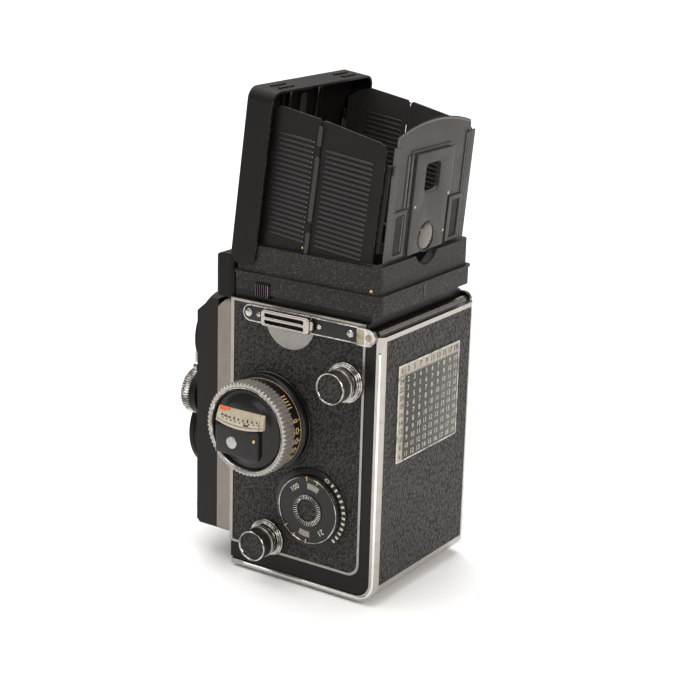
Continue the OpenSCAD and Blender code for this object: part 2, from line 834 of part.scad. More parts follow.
module hood_rear_panel() {
    arch_h = 55.4;
    color([0.05, 0.05, 0.05]) {
        in_panel() difference() {
            union() {
                along_y(-panel_t, 0) intersection() {
                    translate([-panel_half, 0]) square([2 * panel_half, arch_h]);
                    translate([0, arch_h - 95]) circle(95, $fn = 160);
                }
                // raised plate with the window and the eyepiece
                along_y(-tiny, 1) round_rect([-12.9, 0.5], [14.9, 43], 1);
            }
            // recesses: two framed ones below and two tall ones above
            both_sides() {
                along_y(-0.6, 3) round_rect([18, 3], [25, 18], 0.8);
                along_y(-0.6, 3) round_rect([15.9, 20.5], [27, arch_h - 12], 0.8);
            }
            along_y(-3, 3) round_rect([-4.5, 25.8], [7.1, 38], 2.2);
            bar_y(6.3, -3, 3, [eyepiece_x, eyepiece_h]);
            // room for the knuckles of the right leaf
            translate([panel_half - 0.4, -3, 18]) cube([2, 3 + tiny, 31.6]);
        }
        // knuckles on the right edge
        in_lean() leaf_knuckles(0, inner_axis_x, rear_v, 0.9);
        in_lean() for (u = [16, 48])
            box([30.6, rear_v - 0.1, u], [32, rear_v + 1.5, u + 4]);
    }
}

module rear_eyepiece() {
    color([0.55, 0.55, 0.5]) in_panel() bar_y(6.2, -1.6, 1.5, [eyepiece_x, eyepiece_h]);
}

module magnifier_arm() {
    drop = 23;
    color([0.06, 0.06, 0.06]) in_lean() difference() {
        union() {
            bar_x(0.8, -8.6, 8.6, [lid_v, magnifier_u]);
            bar_x(1.1, -5.9, 5.9, [lid_v, magnifier_u]);
            box([-5.9, lid_v - 0.9, magnifier_u - 9], [5.9, lid_v + 0.7, magnifier_u]);
            bar_y(15, lid_v - 0.9, lid_v + 2.6, [0, magnifier_u - drop]);
        }
        bar_y(13, lid_v - 2, lid_v + 4, [0, magnifier_u - drop]);
    }
}

module magnifier_lens() {
    color([0.75, 0.8, 0.8]) in_lean() bar_y(13, lid_v - 0.4, lid_v + 2, [0, magnifier_u - 23]);
}

module hood_catch() {
    color([0.45, 0.3, 0.45]) {
        box([34.9, -26.2, top_z + 1.9], [36.6, -18.8, 131.6]);
        for (i = [0:5])
            box([36.5, -26 + 1.25 * i, top_z + 2.2], [37.2, -25.3 + 1.25 * i, 131.3]);
    }
}

module hood_catch_right() { hood_catch(); }

module hood_catch_left() { mirror([1, 0, 0]) hood_catch(); }

// ---- Lens standard ----

module lens_panel() {
    wall = 2;
    color([0.05, 0.05, 0.05]) difference() {
        union() {
            along_x(-panel_x, panel_x) polygon([[panel_front, 16.5], [panel_front + 1.6, 14.9],
                [panel_back, 14.9], [panel_back, 120.2], [panel_front + 8, 120.2],
                [panel_front, 113.2]]);
            // shutter housing
            along_y(shutter_front, panel_front + tiny) {
                translate([0, taking_z]) circle(24);
                translate([0, viewing_z]) circle(22.5);
                round_rect([-28, wheel_z - 16], [28, wheel_z + 16], 5);
            }
        }
        along_x(-panel_x + wall, panel_x - wall) polygon([[panel_front + wall, 17],
            [panel_back + 1, 17], [panel_back + 1, 118.2], [panel_front + 8.6, 118.2],
            [panel_front + wall, 112.2]]);
        for (z = [taking_z, viewing_z]) bar_y(16.1, shutter_front - 1, panel_back, [0, z]);
        for (x = [-wheel_x, wheel_x]) {
            bar_y(2 + fit, shutter_front - 1, panel_back, [x, wheel_z]);
            bar_y(wheel_r + 0.4, shutter_front - 1, shutter_front + 1.5, [x, wheel_z]);
        }
        bar_y(2.2 + fit, shutter_front - 1, panel_back, release);
        bar_y(1.2 + fit, shutter_front - 1, panel_back, timer);
        bar_y(2.6, shutter_front - 1, panel_back, flash);
    }
}

module lens_sleeve() {
    color([0.72, 0.69, 0.65]) intersection() {
        along_y(panel_back, -28.4) difference() {
            round_rect([-sleeve_x, sleeve_low], [sleeve_x, sleeve_top], 1.8);
            round_rect([-sleeve_x + sleeve_t, sleeve_low + sleeve_t],
                [sleeve_x - sleeve_t, sleeve_top - sleeve_t], 1);
        }
        along_x(-40, 40) polygon([[panel_back - 1, 10], [panel_back - 1, 115.5],
            [-45, 118.6], [-42.4, 120.7], [-38.8, 122], [-28, 122], [-28, 10]]);
        difference() {
            box([-40, -60, 0], [40, 0, 140]);
            box([-notch_x, notch_y, 0], [notch_x, 0, notch_top]);
        }
    }
}

module barrel(z, front, back, r) {
    color([0.07, 0.07, 0.07]) difference() {
        union() {
            bar_y(r, front, front + 5.5, [0, z]);
            bar_y(r - 2, front + 5.4, shutter_front, [0, z]);
            bar_y(16, shutter_front - tiny, back, [0, z]);
        }
        bar_y(r - 2.2, front - 1, front + 3, [0, z]);
        bar_y(12.5, front - 1, back + 1, [0, z]);
    }
}

module viewing_lens() { barrel(viewing_z, -72.6, -46, lens_r); }

module taking_lens() { barrel(taking_z, -75.5, -41, lens_r + 0.4); }

module lens_glass() {
    color([0.5, 0.5, 0.6]) {
        bar_y(12.5, -67.8, -64, [0, viewing_z]);
        bar_y(12.5, -69.5, -65, [0, taking_z]);
        bar_y(12.5, -50, -46.5, [0, taking_z]);
    }
}

module wheel(x) {
    notches = 40;
    color([0.72, 0.71, 0.68]) difference() {
        union() {
            bar_y(wheel_r, -71.2, shutter_front + 1.2, [x, wheel_z]);
            bar_y(2, shutter_front + 1, panel_front + 4, [x, wheel_z]);
        }
        translate([x, 0, wheel_z]) for (i = [0:notches - 1]) rotate([0, i * 360 / notches, 0])
            box([wheel_r - 0.4, -72, -0.3], [wheel_r + 1, -67.5, 0.3]);
    }
}

module aperture_wheel() { wheel(wheel_x); }

module shutter_wheel() { wheel(-wheel_x); }

module release_button() {
    color([0.8, 0.79, 0.76]) {
        bar_y(4, panel_front - 6, panel_front - 2.4, release);
        bar_y(2.2, panel_front - 2.5, panel_back - 1, release);
    }
}

module self_timer_lever() {
    color([0.8, 0.79, 0.76]) {
        bar_y(2.4, shutter_front - 2.2, shutter_front - 0.3, timer);
        bar_y(1.2, shutter_front - 0.4, panel_front + 3, timer);
        box([timer[0] - 1.1, shutter_front - 2, timer[1]],
            [timer[0] + 1.1, shutter_front - 0.5, timer[1] + 7]);
    }
}

module flash_socket() {
    color([0.8, 0.79, 0.76]) difference() {
        union() {
            bar_y(3.4, panel_front - 3.4, panel_front, flash);
            bar_y(2.6, panel_front - tiny, panel_back - 2, flash);
        }
        bar_y(1.3, panel_front - 4, panel_front + 5, flash);
    }
}

body_casting();
mirror_plate();  // mirror
focusing_screen();
side_leather();
side_trims();
strap_plates();
strap_clips();
nose_housing();
meter_cell();
focus_flange();
meter_readout();
meter_window();
meter_needle();
focus_scale_ring();
focus_grip();
film_speed_scale();
film_speed_dial();
knob_flanges();
upper_spool_knob();
lower_spool_knob();
crank_hub();
crank_arm();
crank_grip();
takeup_gear();
takeup_spool();
supply_spool();
counter_dial();
lower_roller();
upper_roller();
back_door();
door_leather();
exposure_table();
door_hinge_pin();
tripod_socket();
feet();
pressure_plate();
door_latch();
hood_base();
hood_lid();
front_leaf_right();
rear_leaf_right();
front_leaf_left();
rear_leaf_left();
hood_rear_panel();
rear_eyepiece();
magnifier_arm();
magnifier_lens();
hood_catch_right();
hood_catch_left();
lens_panel();
lens_sleeve();
viewing_lens();
taking_lens();
lens_glass();
aperture_wheel();
shutter_wheel();
release_button();
self_timer_lever();
flash_socket();
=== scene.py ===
"""Looks of the twin lens reflex camera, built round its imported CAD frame.

Lengths are in millimetres until a mesh is written. +Z is up, the lenses look along -Y and the
focusing knob is on +X, as in the frame. A "plane" names the axis that a flat outline faces.
"""

import json
import math

import bmesh
import bpy
from mathutils import Matrix, Vector


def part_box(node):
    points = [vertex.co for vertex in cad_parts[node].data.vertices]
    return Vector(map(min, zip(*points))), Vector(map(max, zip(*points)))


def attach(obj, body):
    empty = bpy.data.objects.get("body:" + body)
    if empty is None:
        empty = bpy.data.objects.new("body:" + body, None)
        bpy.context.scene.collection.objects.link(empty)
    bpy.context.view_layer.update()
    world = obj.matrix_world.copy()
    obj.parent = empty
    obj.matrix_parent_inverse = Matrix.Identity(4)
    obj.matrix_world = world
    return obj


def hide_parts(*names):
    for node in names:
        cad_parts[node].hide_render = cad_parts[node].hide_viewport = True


MM = 0.001
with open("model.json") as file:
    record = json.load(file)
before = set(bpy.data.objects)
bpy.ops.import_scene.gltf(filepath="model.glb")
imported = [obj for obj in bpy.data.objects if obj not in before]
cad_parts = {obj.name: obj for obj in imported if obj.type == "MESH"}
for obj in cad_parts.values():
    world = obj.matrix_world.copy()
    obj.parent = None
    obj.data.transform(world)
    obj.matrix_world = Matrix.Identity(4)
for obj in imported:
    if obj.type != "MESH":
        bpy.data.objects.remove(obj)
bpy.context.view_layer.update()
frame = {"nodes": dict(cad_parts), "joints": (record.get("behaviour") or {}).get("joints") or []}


def corner(node):
    """The middle of a CAD node's box, in millimetres."""
    low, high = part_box(node)
    return (Vector(low) + Vector(high)) / 2 / MM


def joint(name):
    return next(j for j in frame["joints"] if j["name"] == name)


def place(name):
    """A joint's position in millimetres."""
    return Vector(joint(name)["pos_m"]) / MM


# ---- Places taken from the frame ----

FOCUS = place("focus_turn").yz
ISO = place("film_speed_turn").yz
TAKEUP = place("takeup_turn").yz
SUPPLY = place("supply_turn").yz
CRANK = place("crank_turn").yz
COUNTER = place("counter_turn").yz
WHEEL_Z = place("aperture_turn").z
AT_APERTURE, AT_SHUTTER = place("aperture_turn").x, place("shutter_speed_turn").x
VIEWING_Z = corner("viewing_lens").z
TAKING_Z = corner("taking_lens").z
RELEASE = corner("release_button").xz
FOLD_AXIS = Vector(joint("hood_fold")["axis"])
LEAN = math.atan2(FOLD_AXIS.y, FOLD_AXIS.z)

# Where fittings stand on the sides: just clear of the leatherette and of the thin trims
ON_LEATHER, ON_TRIM = 37.22, 37.42

# ---- Camera, floor and light ----

CAMERA_AT = Vector((598.5, 387.65, 315.8))  # millimetres
CAMERA_TURN = (123.055, 17.001, 1.673)  # azimuth, elevation and roll in degrees
CAMERA_LENS = 88.58


def shown(name, data):
    """A new object in the scene."""
    made = bpy.data.objects.new(name, data)
    bpy.context.scene.collection.objects.link(made)
    return made


def make_camera():
    azimuth, elevation, roll = (math.radians(a) for a in CAMERA_TURN)
    back = Vector((math.sin(azimuth) * math.cos(elevation),
                   -math.cos(azimuth) * math.cos(elevation), math.sin(elevation)))
    right = (-back).cross(Vector((0, 0, 1))).normalized()
    up = right.cross(-back)
    across = right * math.cos(roll) + up * math.sin(roll)
    upward = up * math.cos(roll) - right * math.sin(roll)
    camera = shown("camera", bpy.data.cameras.new("camera"))
    camera.matrix_world = Matrix.LocRotScale(
        CAMERA_AT * MM, Matrix((across, upward, back)).transposed(), None)
    camera.data.lens = CAMERA_LENS
    camera.data.sensor_width = 36
    camera.data.clip_start = 0.01
    camera.data.clip_end = 100
    bpy.context.scene.camera = camera


def area_light(name, at, aim, size, power, colour):
    data = bpy.data.lights.new(name, "AREA")
    data.shape = "RECTANGLE"
    data.size, data.size_y = size
    data.energy = power
    data.color = colour
    light = shown(name, data)
    light.location = at
    light.rotation_euler = (Vector(aim) - Vector(at)).to_track_quat("-Z", "Y").to_euler()


def sun_light(name, turn, strength, angle):
    data = bpy.data.lights.new(name, "SUN")
    data.energy = strength
    data.angle = math.radians(angle)
    light = shown(name, data)
    light.rotation_euler = [math.radians(t) for t in turn]


def make_studio():
    bpy.context.scene.view_settings.view_transform = "Standard"
    world = bpy.data.worlds.new("studio")
    bpy.context.scene.world = world
    world.use_nodes = True
    sky = world.node_tree.nodes["Background"].inputs
    sky["Color"].default_value = (*WORLD_COLOUR, 1)
    sky["Strength"].default_value = WORLD_LIGHT
    for light in LIGHTS:
        area_light(*light)
    sun_light("daylight", (14, 6, 0), 2.6, 70)
    mesh = bpy.data.meshes.new("floor")
    far = FLOOR_HALF
    mesh.from_pydata([(-far, -far, 0), (far, -far, 0), (far, far, 0), (-far, far, 0)], [], [(0, 1, 2, 3)])
    mesh.materials.append(Surface("floor", (0.93, 0.93, 0.925), 0.75).material)
    shown("floor", mesh)


WORLD_COLOUR, WORLD_LIGHT = (1, 0.99, 0.975), 0.34
FLOOR_HALF = 20  # metres
# name, place and aim in metres, width and height, watts, colour
LIGHTS = [
    ("key", (0.55, 1.7, 1.1), (0, 0, 0.12), (0.9, 0.9), 20, (1, 0.97, 0.93)),
    ("side", (1.9, -0.3, 0.9), (0, 0, 0.1), (0.7, 1.2), 5, (1, 0.98, 0.96)),
    ("top", (-0.9, -0.5, 1.5), (0, 0, 0.2), (1.2, 1.2), 10, (1, 0.98, 0.95)),
]

# ---- Materials ----


class Surface:
    """A Principled material with a few short ways to add procedural detail."""

    def __init__(self, name, colour, roughness, metallic=0.0, **sockets):
        self.material = bpy.data.materials.new(name)
        self.material.use_nodes = True
        self.tree = self.material.node_tree
        self.shader = self.tree.nodes["Principled BSDF"]
        self.colour = tuple(colour)
        self.set("Base Color", (*colour, 1))
        self.set("Roughness", roughness)
        self.set("Metallic", metallic)
        for socket, value in sockets.items():
            self.set(socket.replace("_", " "), value)
        self.height = None

    def set(self, socket, value):
        self.shader.inputs[socket].default_value = value

    def node(self, kind, **values):
        made = self.tree.nodes.new("ShaderNode" + kind)
        for key, value in values.items():
            if hasattr(made, key):
                setattr(made, key, value)
            else:
                made.inputs[key.replace("_", " ")].default_value = value
        return made

    def link(self, source, target):
        self.tree.links.new(source, target)

    def drive(self, socket, source):
        self.link(source, self.shader.inputs[socket])

    def coordinates(self, scale=(1, 1, 1), turn=(0, 0, 0)):
        """Object coordinates in millimetres, turned and then scaled."""
        base = self.node("TexCoord").outputs["Object"]
        turned = self.node("Mapping")
        turned.inputs["Rotation"].default_value = [math.radians(t) for t in turn]
        self.link(base, turned.inputs["Vector"])
        scaled = self.node("Mapping")
        scaled.inputs["Scale"].default_value = [s / MM for s in scale]
        self.link(turned.outputs[0], scaled.inputs["Vector"])
        return scaled.outputs[0]

    def noise(self, size, detail=3, roughness=0.55, stretch=(1, 1, 1)):
        """Noise whose features are about size millimetres across."""
        made = self.node("TexNoise", Scale=1 / size, Detail=detail, Roughness=roughness)
        self.link(self.coordinates(stretch), made.inputs["Vector"])
        return made.outputs["Fac"]

    def ramp(self, factor, *stops):
        """Maps a factor through (position, value or colour) stops."""
        made = self.node("ValToRGB")
        elements = made.color_ramp.elements
        while len(elements) < len(stops):
            elements.new(0.5)
        for element, (position, value) in zip(elements, stops):
            element.position = position
            element.color = (*value, 1) if hasattr(value, "__len__") else (value, value, value, 1)
        self.link(factor, made.inputs["Fac"])
        return made.outputs["Color"]

    def mix(self, factor, a, b):
        made = self.node("Mix", data_type="RGBA")
        for socket, value in (("Factor", factor), ("A", a), ("B", b)):
            target = [s for s in made.inputs if s.name == socket and s.enabled][0]
            if hasattr(value, "links"):
                self.link(value, target)
            else:
                target.default_value = value if isinstance(value, float) else (*value, 1)
        return [s for s in made.outputs if s.enabled][0]

    def calc(self, operation, a, b):
        made = self.node("Math", operation=operation)
        for target, value in zip(made.inputs, (a, b)):
            if hasattr(value, "links"):
                self.link(value, target)
            else:
                target.default_value = value
        return made.outputs[0]

    def bump(self, height, depth, strength=1.0):
        """Adds a bump of about depth millimetres."""
        made = self.node("Bump", Strength=strength, Distance=depth * MM)
        self.link(height, made.inputs["Height"])
        if self.height:
            self.link(self.height, made.inputs["Normal"])
        self.height = made.outputs["Normal"]
        self.drive("Normal", self.height)

    def rubbed_and_highlit_edges(self, radius, bright, colour):
        """Factor of the lighter colour along outer edges, mixed into the base colour: rubbed metal, and a
        painted highlight on rounded edges.
        """
        soft = self.node("Bevel", samples=4, Radius=radius * MM)
        plain = self.node("NewGeometry").outputs["Normal"]
        dot = self.node("VectorMath", operation="DOT_PRODUCT")
        self.link(soft.outputs[0], dot.inputs[0])
        self.link(plain, dot.inputs[1])
        edge = self.ramp(dot.outputs["Value"], (0.72, 1.0), (0.93, 0.0))
        patchy = self.ramp(self.noise(2.2, 4), (0.45, 0.0), (0.62, 1.0))
        rubbed = self.calc("MULTIPLY", self.calc("MULTIPLY", edge, patchy), bright)
        self.drive("Base Color", self.mix(rubbed, self.colour, colour))


def black_paint(name, colour, roughness, grain=0.0, edge_wear_and_highlight=0.5, shine=0.35):
    """Paint with rubbed edges, whose lighter colour is also a painted edge highlight. grain is the depth of
    its texture in millimetres.
    """
    made = Surface(name, colour, roughness, Specular_IOR_Level=shine)
    cloud = made.noise(14, 4)
    made.drive("Roughness", made.ramp(cloud, (0.3, roughness * 0.82), (0.75, roughness * 1.25)))
    if edge_wear_and_highlight:
        # Lighter edges: rubbed paint, and a painted highlight along rounded edges
        made.rubbed_and_highlit_edges(0.35, edge_wear_and_highlight, (0.16, 0.13, 0.1))
    if grain:
        made.bump(made.noise(0.35, 2), grain)
    made.bump(made.noise(9, 2), 0.03, 0.4)
    return made.material


def crinkle_paint(name):
    """Baked black paint with a fine wrinkle, painted darker in its hollows and lighter on its tops as
    painted shade and light, with light specks painted in as glints.
    """
    made = Surface(name, (0.012, 0.011, 0.01), 0.42, Specular_IOR_Level=0.2)
    wrinkle = made.node("TexVoronoi", feature="SMOOTH_F1", Scale=1 / 0.62, Smoothness=0.6)
    made.link(made.coordinates(), wrinkle.inputs["Vector"])
    fine = made.noise(0.3, 3, 0.6)
    height = made.calc("ADD", wrinkle.outputs["Distance"], made.calc("MULTIPLY", fine, 0.7))
    # Painted shade in the wrinkle's hollows and painted light on its tops
    ground = made.ramp(height, (0.35, (0.004, 0.0036, 0.0033)), (0.95, (0.018, 0.016, 0.0142)))
    # Light specks painted into the colour as glints
    painted_glints = made.ramp(made.noise(0.55, 1, 0.4), (0.61, 0.0), (0.7, 1.0))
    made.drive("Base Color", made.mix(painted_glints, ground, (0.085, 0.075, 0.066)))
    made.drive("Roughness", made.ramp(fine, (0.35, 0.36), (0.7, 0.6)))
    made.bump(height, 0.16, 0.85)
    return made.material


def leatherette(name, turn, stretch):
    """Black pebble grain, painted lighter on the pebbles and darker in the hollows as painted light and
    shade. turn is its direction and stretch its shape.
    """
    made = Surface(name, (0.02, 0.018, 0.016), 0.5, Specular_IOR_Level=0.3)
    base = made.coordinates(stretch, turn)
    shift = made.node("TexNoise", Scale=1.6, Detail=2)
    made.link(base, shift.inputs["Vector"])
    offset = made.node("VectorMath", operation="MULTIPLY_ADD")
    made.link(shift.outputs["Color"], offset.inputs[0])
    offset.inputs[1].default_value = (0.55, 0.55, 0.55)
    made.link(base, offset.inputs[2])
    cells = made.node("TexVoronoi", feature="SMOOTH_F1", Scale=0.9, Smoothness=0.2)
    made.link(offset.outputs[0], cells.inputs["Vector"])
    fine = made.noise(0.28, 3, 0.6)
    pebble = made.ramp(cells.outputs["Distance"], (0.25, 1.0), (0.8, 0.0))
    height = made.calc("ADD", pebble, made.calc("MULTIPLY", fine, 0.25))
    patch = made.noise(16, 4)
    # dark is painted shade in the hollows and light is painted light on the pebbles, both varied in large
    # patches
    dark = made.mix(patch, (0.0035, 0.003, 0.0027), (0.006, 0.0053, 0.0046))
    light = made.mix(patch, (0.026, 0.0228, 0.0195), (0.047, 0.041, 0.035))
    made.drive("Base Color", made.mix(pebble, dark, light))
    made.drive("Roughness", made.ramp(height, (0.3, 0.6), (1.0, 0.33)))
    made.bump(height, 0.5)
    return made.material


def metal(name, colour, roughness, brush=None, depth=0.01, spots=0.0):
    """Bare metal. brush is the stretch of its brushing marks, and spots darkens its patches, which are
    partly stains and partly painted dark reflections.
    """
    made = Surface(name, colour, roughness, 1.0)
    if brush:
        marks = made.noise(0.5, 4, 0.6, brush)
        made.drive("Roughness", made.ramp(marks, (0.3, roughness * 0.75), (0.7, roughness * 1.35)))
        made.bump(marks, depth)
    else:
        marks = made.noise(6, 5, 0.65)
        made.drive("Roughness", made.ramp(marks, (0.35, roughness * 0.7), (0.7, roughness * 1.5)))
    # Darker patches: stains, made darker and wider by spots as painted dark reflections of the surroundings
    stain_and_painted_reflection = made.ramp(made.noise(4, 5, 0.7), (0.5 - spots * 0.14, 0.0), (0.72 - spots * 0.22, 1.0))
    shade = tuple(c * (0.82 - spots) for c in colour)
    made.drive("Base Color", made.mix(stain_and_painted_reflection, colour, shade))
    return made.material


def glass(name, colour, roughness, clear):
    made = Surface(name, colour, roughness, IOR=1.52, Transmission_Weight=clear, Coat_Weight=0.6,
                   Coat_Tint=(0.75, 0.7, 1, 1))
    smear = made.noise(8)
    made.drive("Roughness", made.ramp(smear, (0.4, roughness), (0.8, roughness + 0.05)))
    return made.material


def plastic(name, colour, roughness, marks=0.15, **sockets):
    made = Surface(name, colour, roughness, Specular_IOR_Level=0.5, **sockets)
    cloud = made.noise(3, 4)
    made.drive("Roughness", made.ramp(cloud, (0.3, roughness * 0.8), (0.75, roughness * 1.2)))
    shade = tuple(c * (1 - marks) for c in colour)
    made.drive("Base Color", made.mix(made.noise(5, 5), colour, shade))
    return made.material


# ---- Mesh building ----

# Rows give x, y and z from an outline's (across, up, out)
PLANES = {"x": Matrix(((0, 0, 1), (1, 0, 0), (0, 1, 0))).to_4x4(),
          "y": Matrix(((1, 0, 0), (0, 0, 1), (0, 1, 0))).to_4x4(),
          "z": Matrix.Identity(4)}
FLIP = Matrix.Scale(-1, 4, Vector((1, 0, 0)))
SHARP, STRAIGHT = math.radians(38), math.radians(178)


class Piece:
    """One named object, gathered from closed solids in millimetres."""

    def __init__(self, name, body, slot, replaces=()):
        self.name, self.body, self.slot, self.replaces = name, body, slot, replaces
        self.bm = bmesh.new()
        self.materials = []

    def add(self, part, material, *moves):
        """Adds a solid in a material, after the given matrices in turn."""
        for move in moves:
            part.transform(move)
        bmesh.ops.recalc_face_normals(part, faces=part.faces)
        if material not in self.materials:
            self.materials.append(material)
        for face in part.faces:
            face.material_index = self.materials.index(material)
            face.smooth = True
        for edge in part.edges:
            if len(edge.link_faces) == 2 and edge.calc_face_angle(0) > SHARP:
                edge.smooth = False
        mesh = bpy.data.meshes.new("part")
        part.to_mesh(mesh)
        part.free()
        self.bm.from_mesh(mesh)
        bpy.data.meshes.remove(mesh)

    def done(self):
        mesh = bpy.data.meshes.new(self.name)
        self.bm.transform(Matrix.Scale(MM, 4))
        self.bm.to_mesh(mesh)
        self.bm.free()
        for material in self.materials:
            mesh.materials.append(material)
        made = shown(self.name, mesh)
        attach(made, self.body)
        if self.replaces:
            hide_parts(*self.replaces)


def around(centre, radius, angle):
    """The point at a radius and an angle in degrees from a centre."""
    a = math.radians(angle)
    return centre[0] + radius * math.cos(a), centre[1] + radius * math.sin(a)


def arc(centre, radius, start, end, steps):
    return [around(centre, radius, start + (end - start) * i / steps) for i in range(steps + 1)]


def moved(points, across, up):
    return [(across + x, up + y) for x, y in points]


def circle(centre, radius, steps=64):
    return arc(centre, radius, 0, 360, steps)[:-1]


def soft(points, radius, steps=4, closed=True):
    """Rounds the corners of a path. radius is one number, or one for each corner."""
    made = []
    count = len(points)
    for i, point in enumerate(points):
        r = radius[i] if hasattr(radius, "__len__") else radius
        here = Vector(point)
        before = Vector(points[i - 1]) - here
        after = Vector(points[(i + 1) % count]) - here
        turn = before.angle(after, math.pi)
        if r <= 0 or turn > STRAIGHT or (not closed and i in (0, count - 1)):
            made.append(tuple(here))
            continue
        reach = min(r / math.tan(turn / 2), before.length * 0.49, after.length * 0.49)
        first, last = here + before.normalized() * reach, here + after.normalized() * reach
        for k in range(steps + 1):
            t = k / steps
            made.append(tuple(first * (1 - t) ** 2 + here * 2 * t * (1 - t) + last * t * t))
    return made


def oblong(low, high, radius, steps=5):
    """A rectangle with rounded corners."""
    (x0, y0), (x1, y1) = low, high
    return soft([(x0, y0), (x1, y0), (x1, y1), (x0, y1)], radius, steps)


def area_of(outline):
    return sum(a[0] * b[1] - b[0] * a[1] for a, b in zip(outline, outline[1:] + outline[:1])) / 2


def from_curve(curve):
    """A bmesh of what a curve or text shows."""
    holder = bpy.data.objects.new("curve", curve)
    mesh = bpy.data.meshes.new_from_object(holder)
    made = bmesh.new()
    made.from_mesh(mesh)
    bmesh.ops.remove_doubles(made, verts=made.verts, dist=1e-4)
    bpy.data.objects.remove(holder)
    bpy.data.meshes.remove(mesh)
    bpy.data.curves.remove(curve)
    return made


def plate(outlines, low, high, plane="x", bevel=0.15, steps=2):
    """A plate from low to high along its plane's axis. The first outline is its edge, the rest are holes."""
    curve = bpy.data.curves.new("plate", "CURVE")
    curve.dimensions = "2D"
    curve.fill_mode = "BOTH"
    bevel = min(bevel, (high - low) * 0.49)
    curve.extrude = (high - low) / 2 - bevel
    curve.bevel_depth = bevel
    curve.bevel_resolution = steps
    curve.offset = -bevel
    for i, outline in enumerate(outlines):
        if (area_of(outline) > 0) == (i == 0):
            outline = outline[::-1]
        spline = curve.splines.new("POLY")
        spline.points.add(len(outline) - 1)
        spline.use_cyclic_u = True
        for point, (x, y) in zip(spline.points, outline):
            point.co = (x, y, 0, 1)
    made = from_curve(curve)
    made.transform(PLANES[plane] @ Matrix.Translation((0, 0, (low + high) / 2)))
    return made


def lathe(profile, centre, axis="x", steps=96, wave=None):
    """Turns a profile of (radius, distance along the axis). wave(angle, i) is added to radius i.
    A profile that starts on the axis also ends there, and any other is closed into a ring."""
    made = bmesh.new()
    rings = []
    for i, (radius, along) in enumerate(profile):
        count = 1 if radius < 1e-6 else steps
        points = []
        for k in range(count):
            angle = 2 * math.pi * k / steps
            r = radius + (wave(angle, i) if wave and count > 1 else 0)
            points.append(made.verts.new((r * math.cos(angle), r * math.sin(angle), along)))
        rings.append(points)
    pairs = list(zip(rings, rings[1:]))
    if profile[0][0] > 0:
        pairs.append((rings[-1], rings[0]))
    for a, b in pairs:
        for k in range(steps):
            near_a, far_a = a[k % len(a)], a[(k + 1) % len(a)]
            near_b, far_b = b[k % len(b)], b[(k + 1) % len(b)]
            face = list(dict.fromkeys((near_a, near_b, far_b, far_a)))
            if len(face) > 2:
                made.faces.new(face)
    made.transform(PLANES[axis] @ Matrix.Translation((centre[0], centre[1], 0)))
    return made


def block(low, high, radius=0.3, steps=2):
    """A box with rounded edges."""
    made = bmesh.new()
    bmesh.ops.create_cube(made, size=1)
    low, high = Vector(low), Vector(high)
    made.transform(Matrix.Translation((low + high) / 2) @ Matrix.Diagonal((*(high - low), 1)))
    bmesh.ops.bevel(made, geom=made.edges, offset=min(radius, min(high - low) * 0.48),
                    segments=steps, profile=0.5, affect="EDGES")
    return made


def tube(points, radius):
    """A round bar along a path."""
    curve = bpy.data.curves.new("tube", "CURVE")
    curve.dimensions = "3D"
    curve.bevel_depth = radius
    curve.bevel_resolution = 3
    curve.use_fill_caps = True
    spline = curve.splines.new("POLY")
    spline.points.add(len(points) - 1)
    for point, at in zip(spline.points, points):
        point.co = (*at, 1)
    return from_curve(curve)


def dome(centre, radius, low, height, axis="x", slot=False):
    """A round head with a domed top, and with a screwdriver slot if asked."""
    profile = [(0, low)] + [(radius, low), (radius, low + height * 0.35)]
    profile += [(radius * math.cos(t), low + height * (0.35 + 0.65 * math.sin(t)))
                for t in (math.pi / 2 * k / 5 for k in range(1, 5))]
    made = lathe(profile + [(0, low + height)], centre, axis, 28)
    if slot:
        deep, across = {"x": (0, 1), "y": (1, 0)}[axis]
        for vert in made.verts:
            if abs(vert.co[across] - centre[0]) < radius * 0.22:
                vert.co[deep] = min(vert.co[deep], low + height * 0.45)
    return made


def lettering(text, size, at, plane="x", thick=0.08, turn=0, mirror=False):
    """Raised figures centred on a point of a plane."""
    curve = bpy.data.curves.new("text", "FONT")
    curve.body = text
    curve.size = size * 1.4
    curve.align_x = "CENTER"
    curve.align_y = "CENTER"
    curve.resolution_u = 3
    curve.extrude = thick / 2
    made = from_curve(curve)
    made.transform(Matrix.Rotation(math.radians(turn), 4, "Z"))
    if mirror:
        made.transform(FLIP)
    made.transform(PLANES[plane] @ Matrix.Translation(at))
    return made


def wrapped(part, radius, centre, along, angle):
    """Bends flat work round a cylinder along X: its right is -X and its up runs round."""
    for vert in part.verts:
        u, v, n = vert.co
        turn = math.radians(angle) + v / radius
        r = radius + n
        vert.co = (along - u, centre[0] + r * math.cos(turn), centre[1] + r * math.sin(turn))
    return part


def between(top, low, us, vs):
    """A solid between two surfaces, each a function of u and v."""
    made = bmesh.new()
    grids = [[[made.verts.new(f(u, v)) for v in vs] for u in us] for f in (top, low)]
    nu, nv = len(us), len(vs)
    for g in grids:
        for i in range(nu - 1):
            for k in range(nv - 1):
                made.faces.new((g[i][k], g[i + 1][k], g[i + 1][k + 1], g[i][k + 1]))
    edge = [(i, 0) for i in range(nu)] + [(nu - 1, k) for k in range(1, nv)]
    edge += [(i, nv - 1) for i in range(nu - 2, -1, -1)] + [(0, k) for k in range(nv - 2, 0, -1)]
    for (a, b), (c, d) in zip(edge, edge[1:] + edge[:1]):
        made.faces.new((grids[0][a][b], grids[0][c][d], grids[1][c][d], grids[1][a][b]))
    return made


def spread(low, high, count):
    return [low + (high - low) * i / count for i in range(count + 1)]


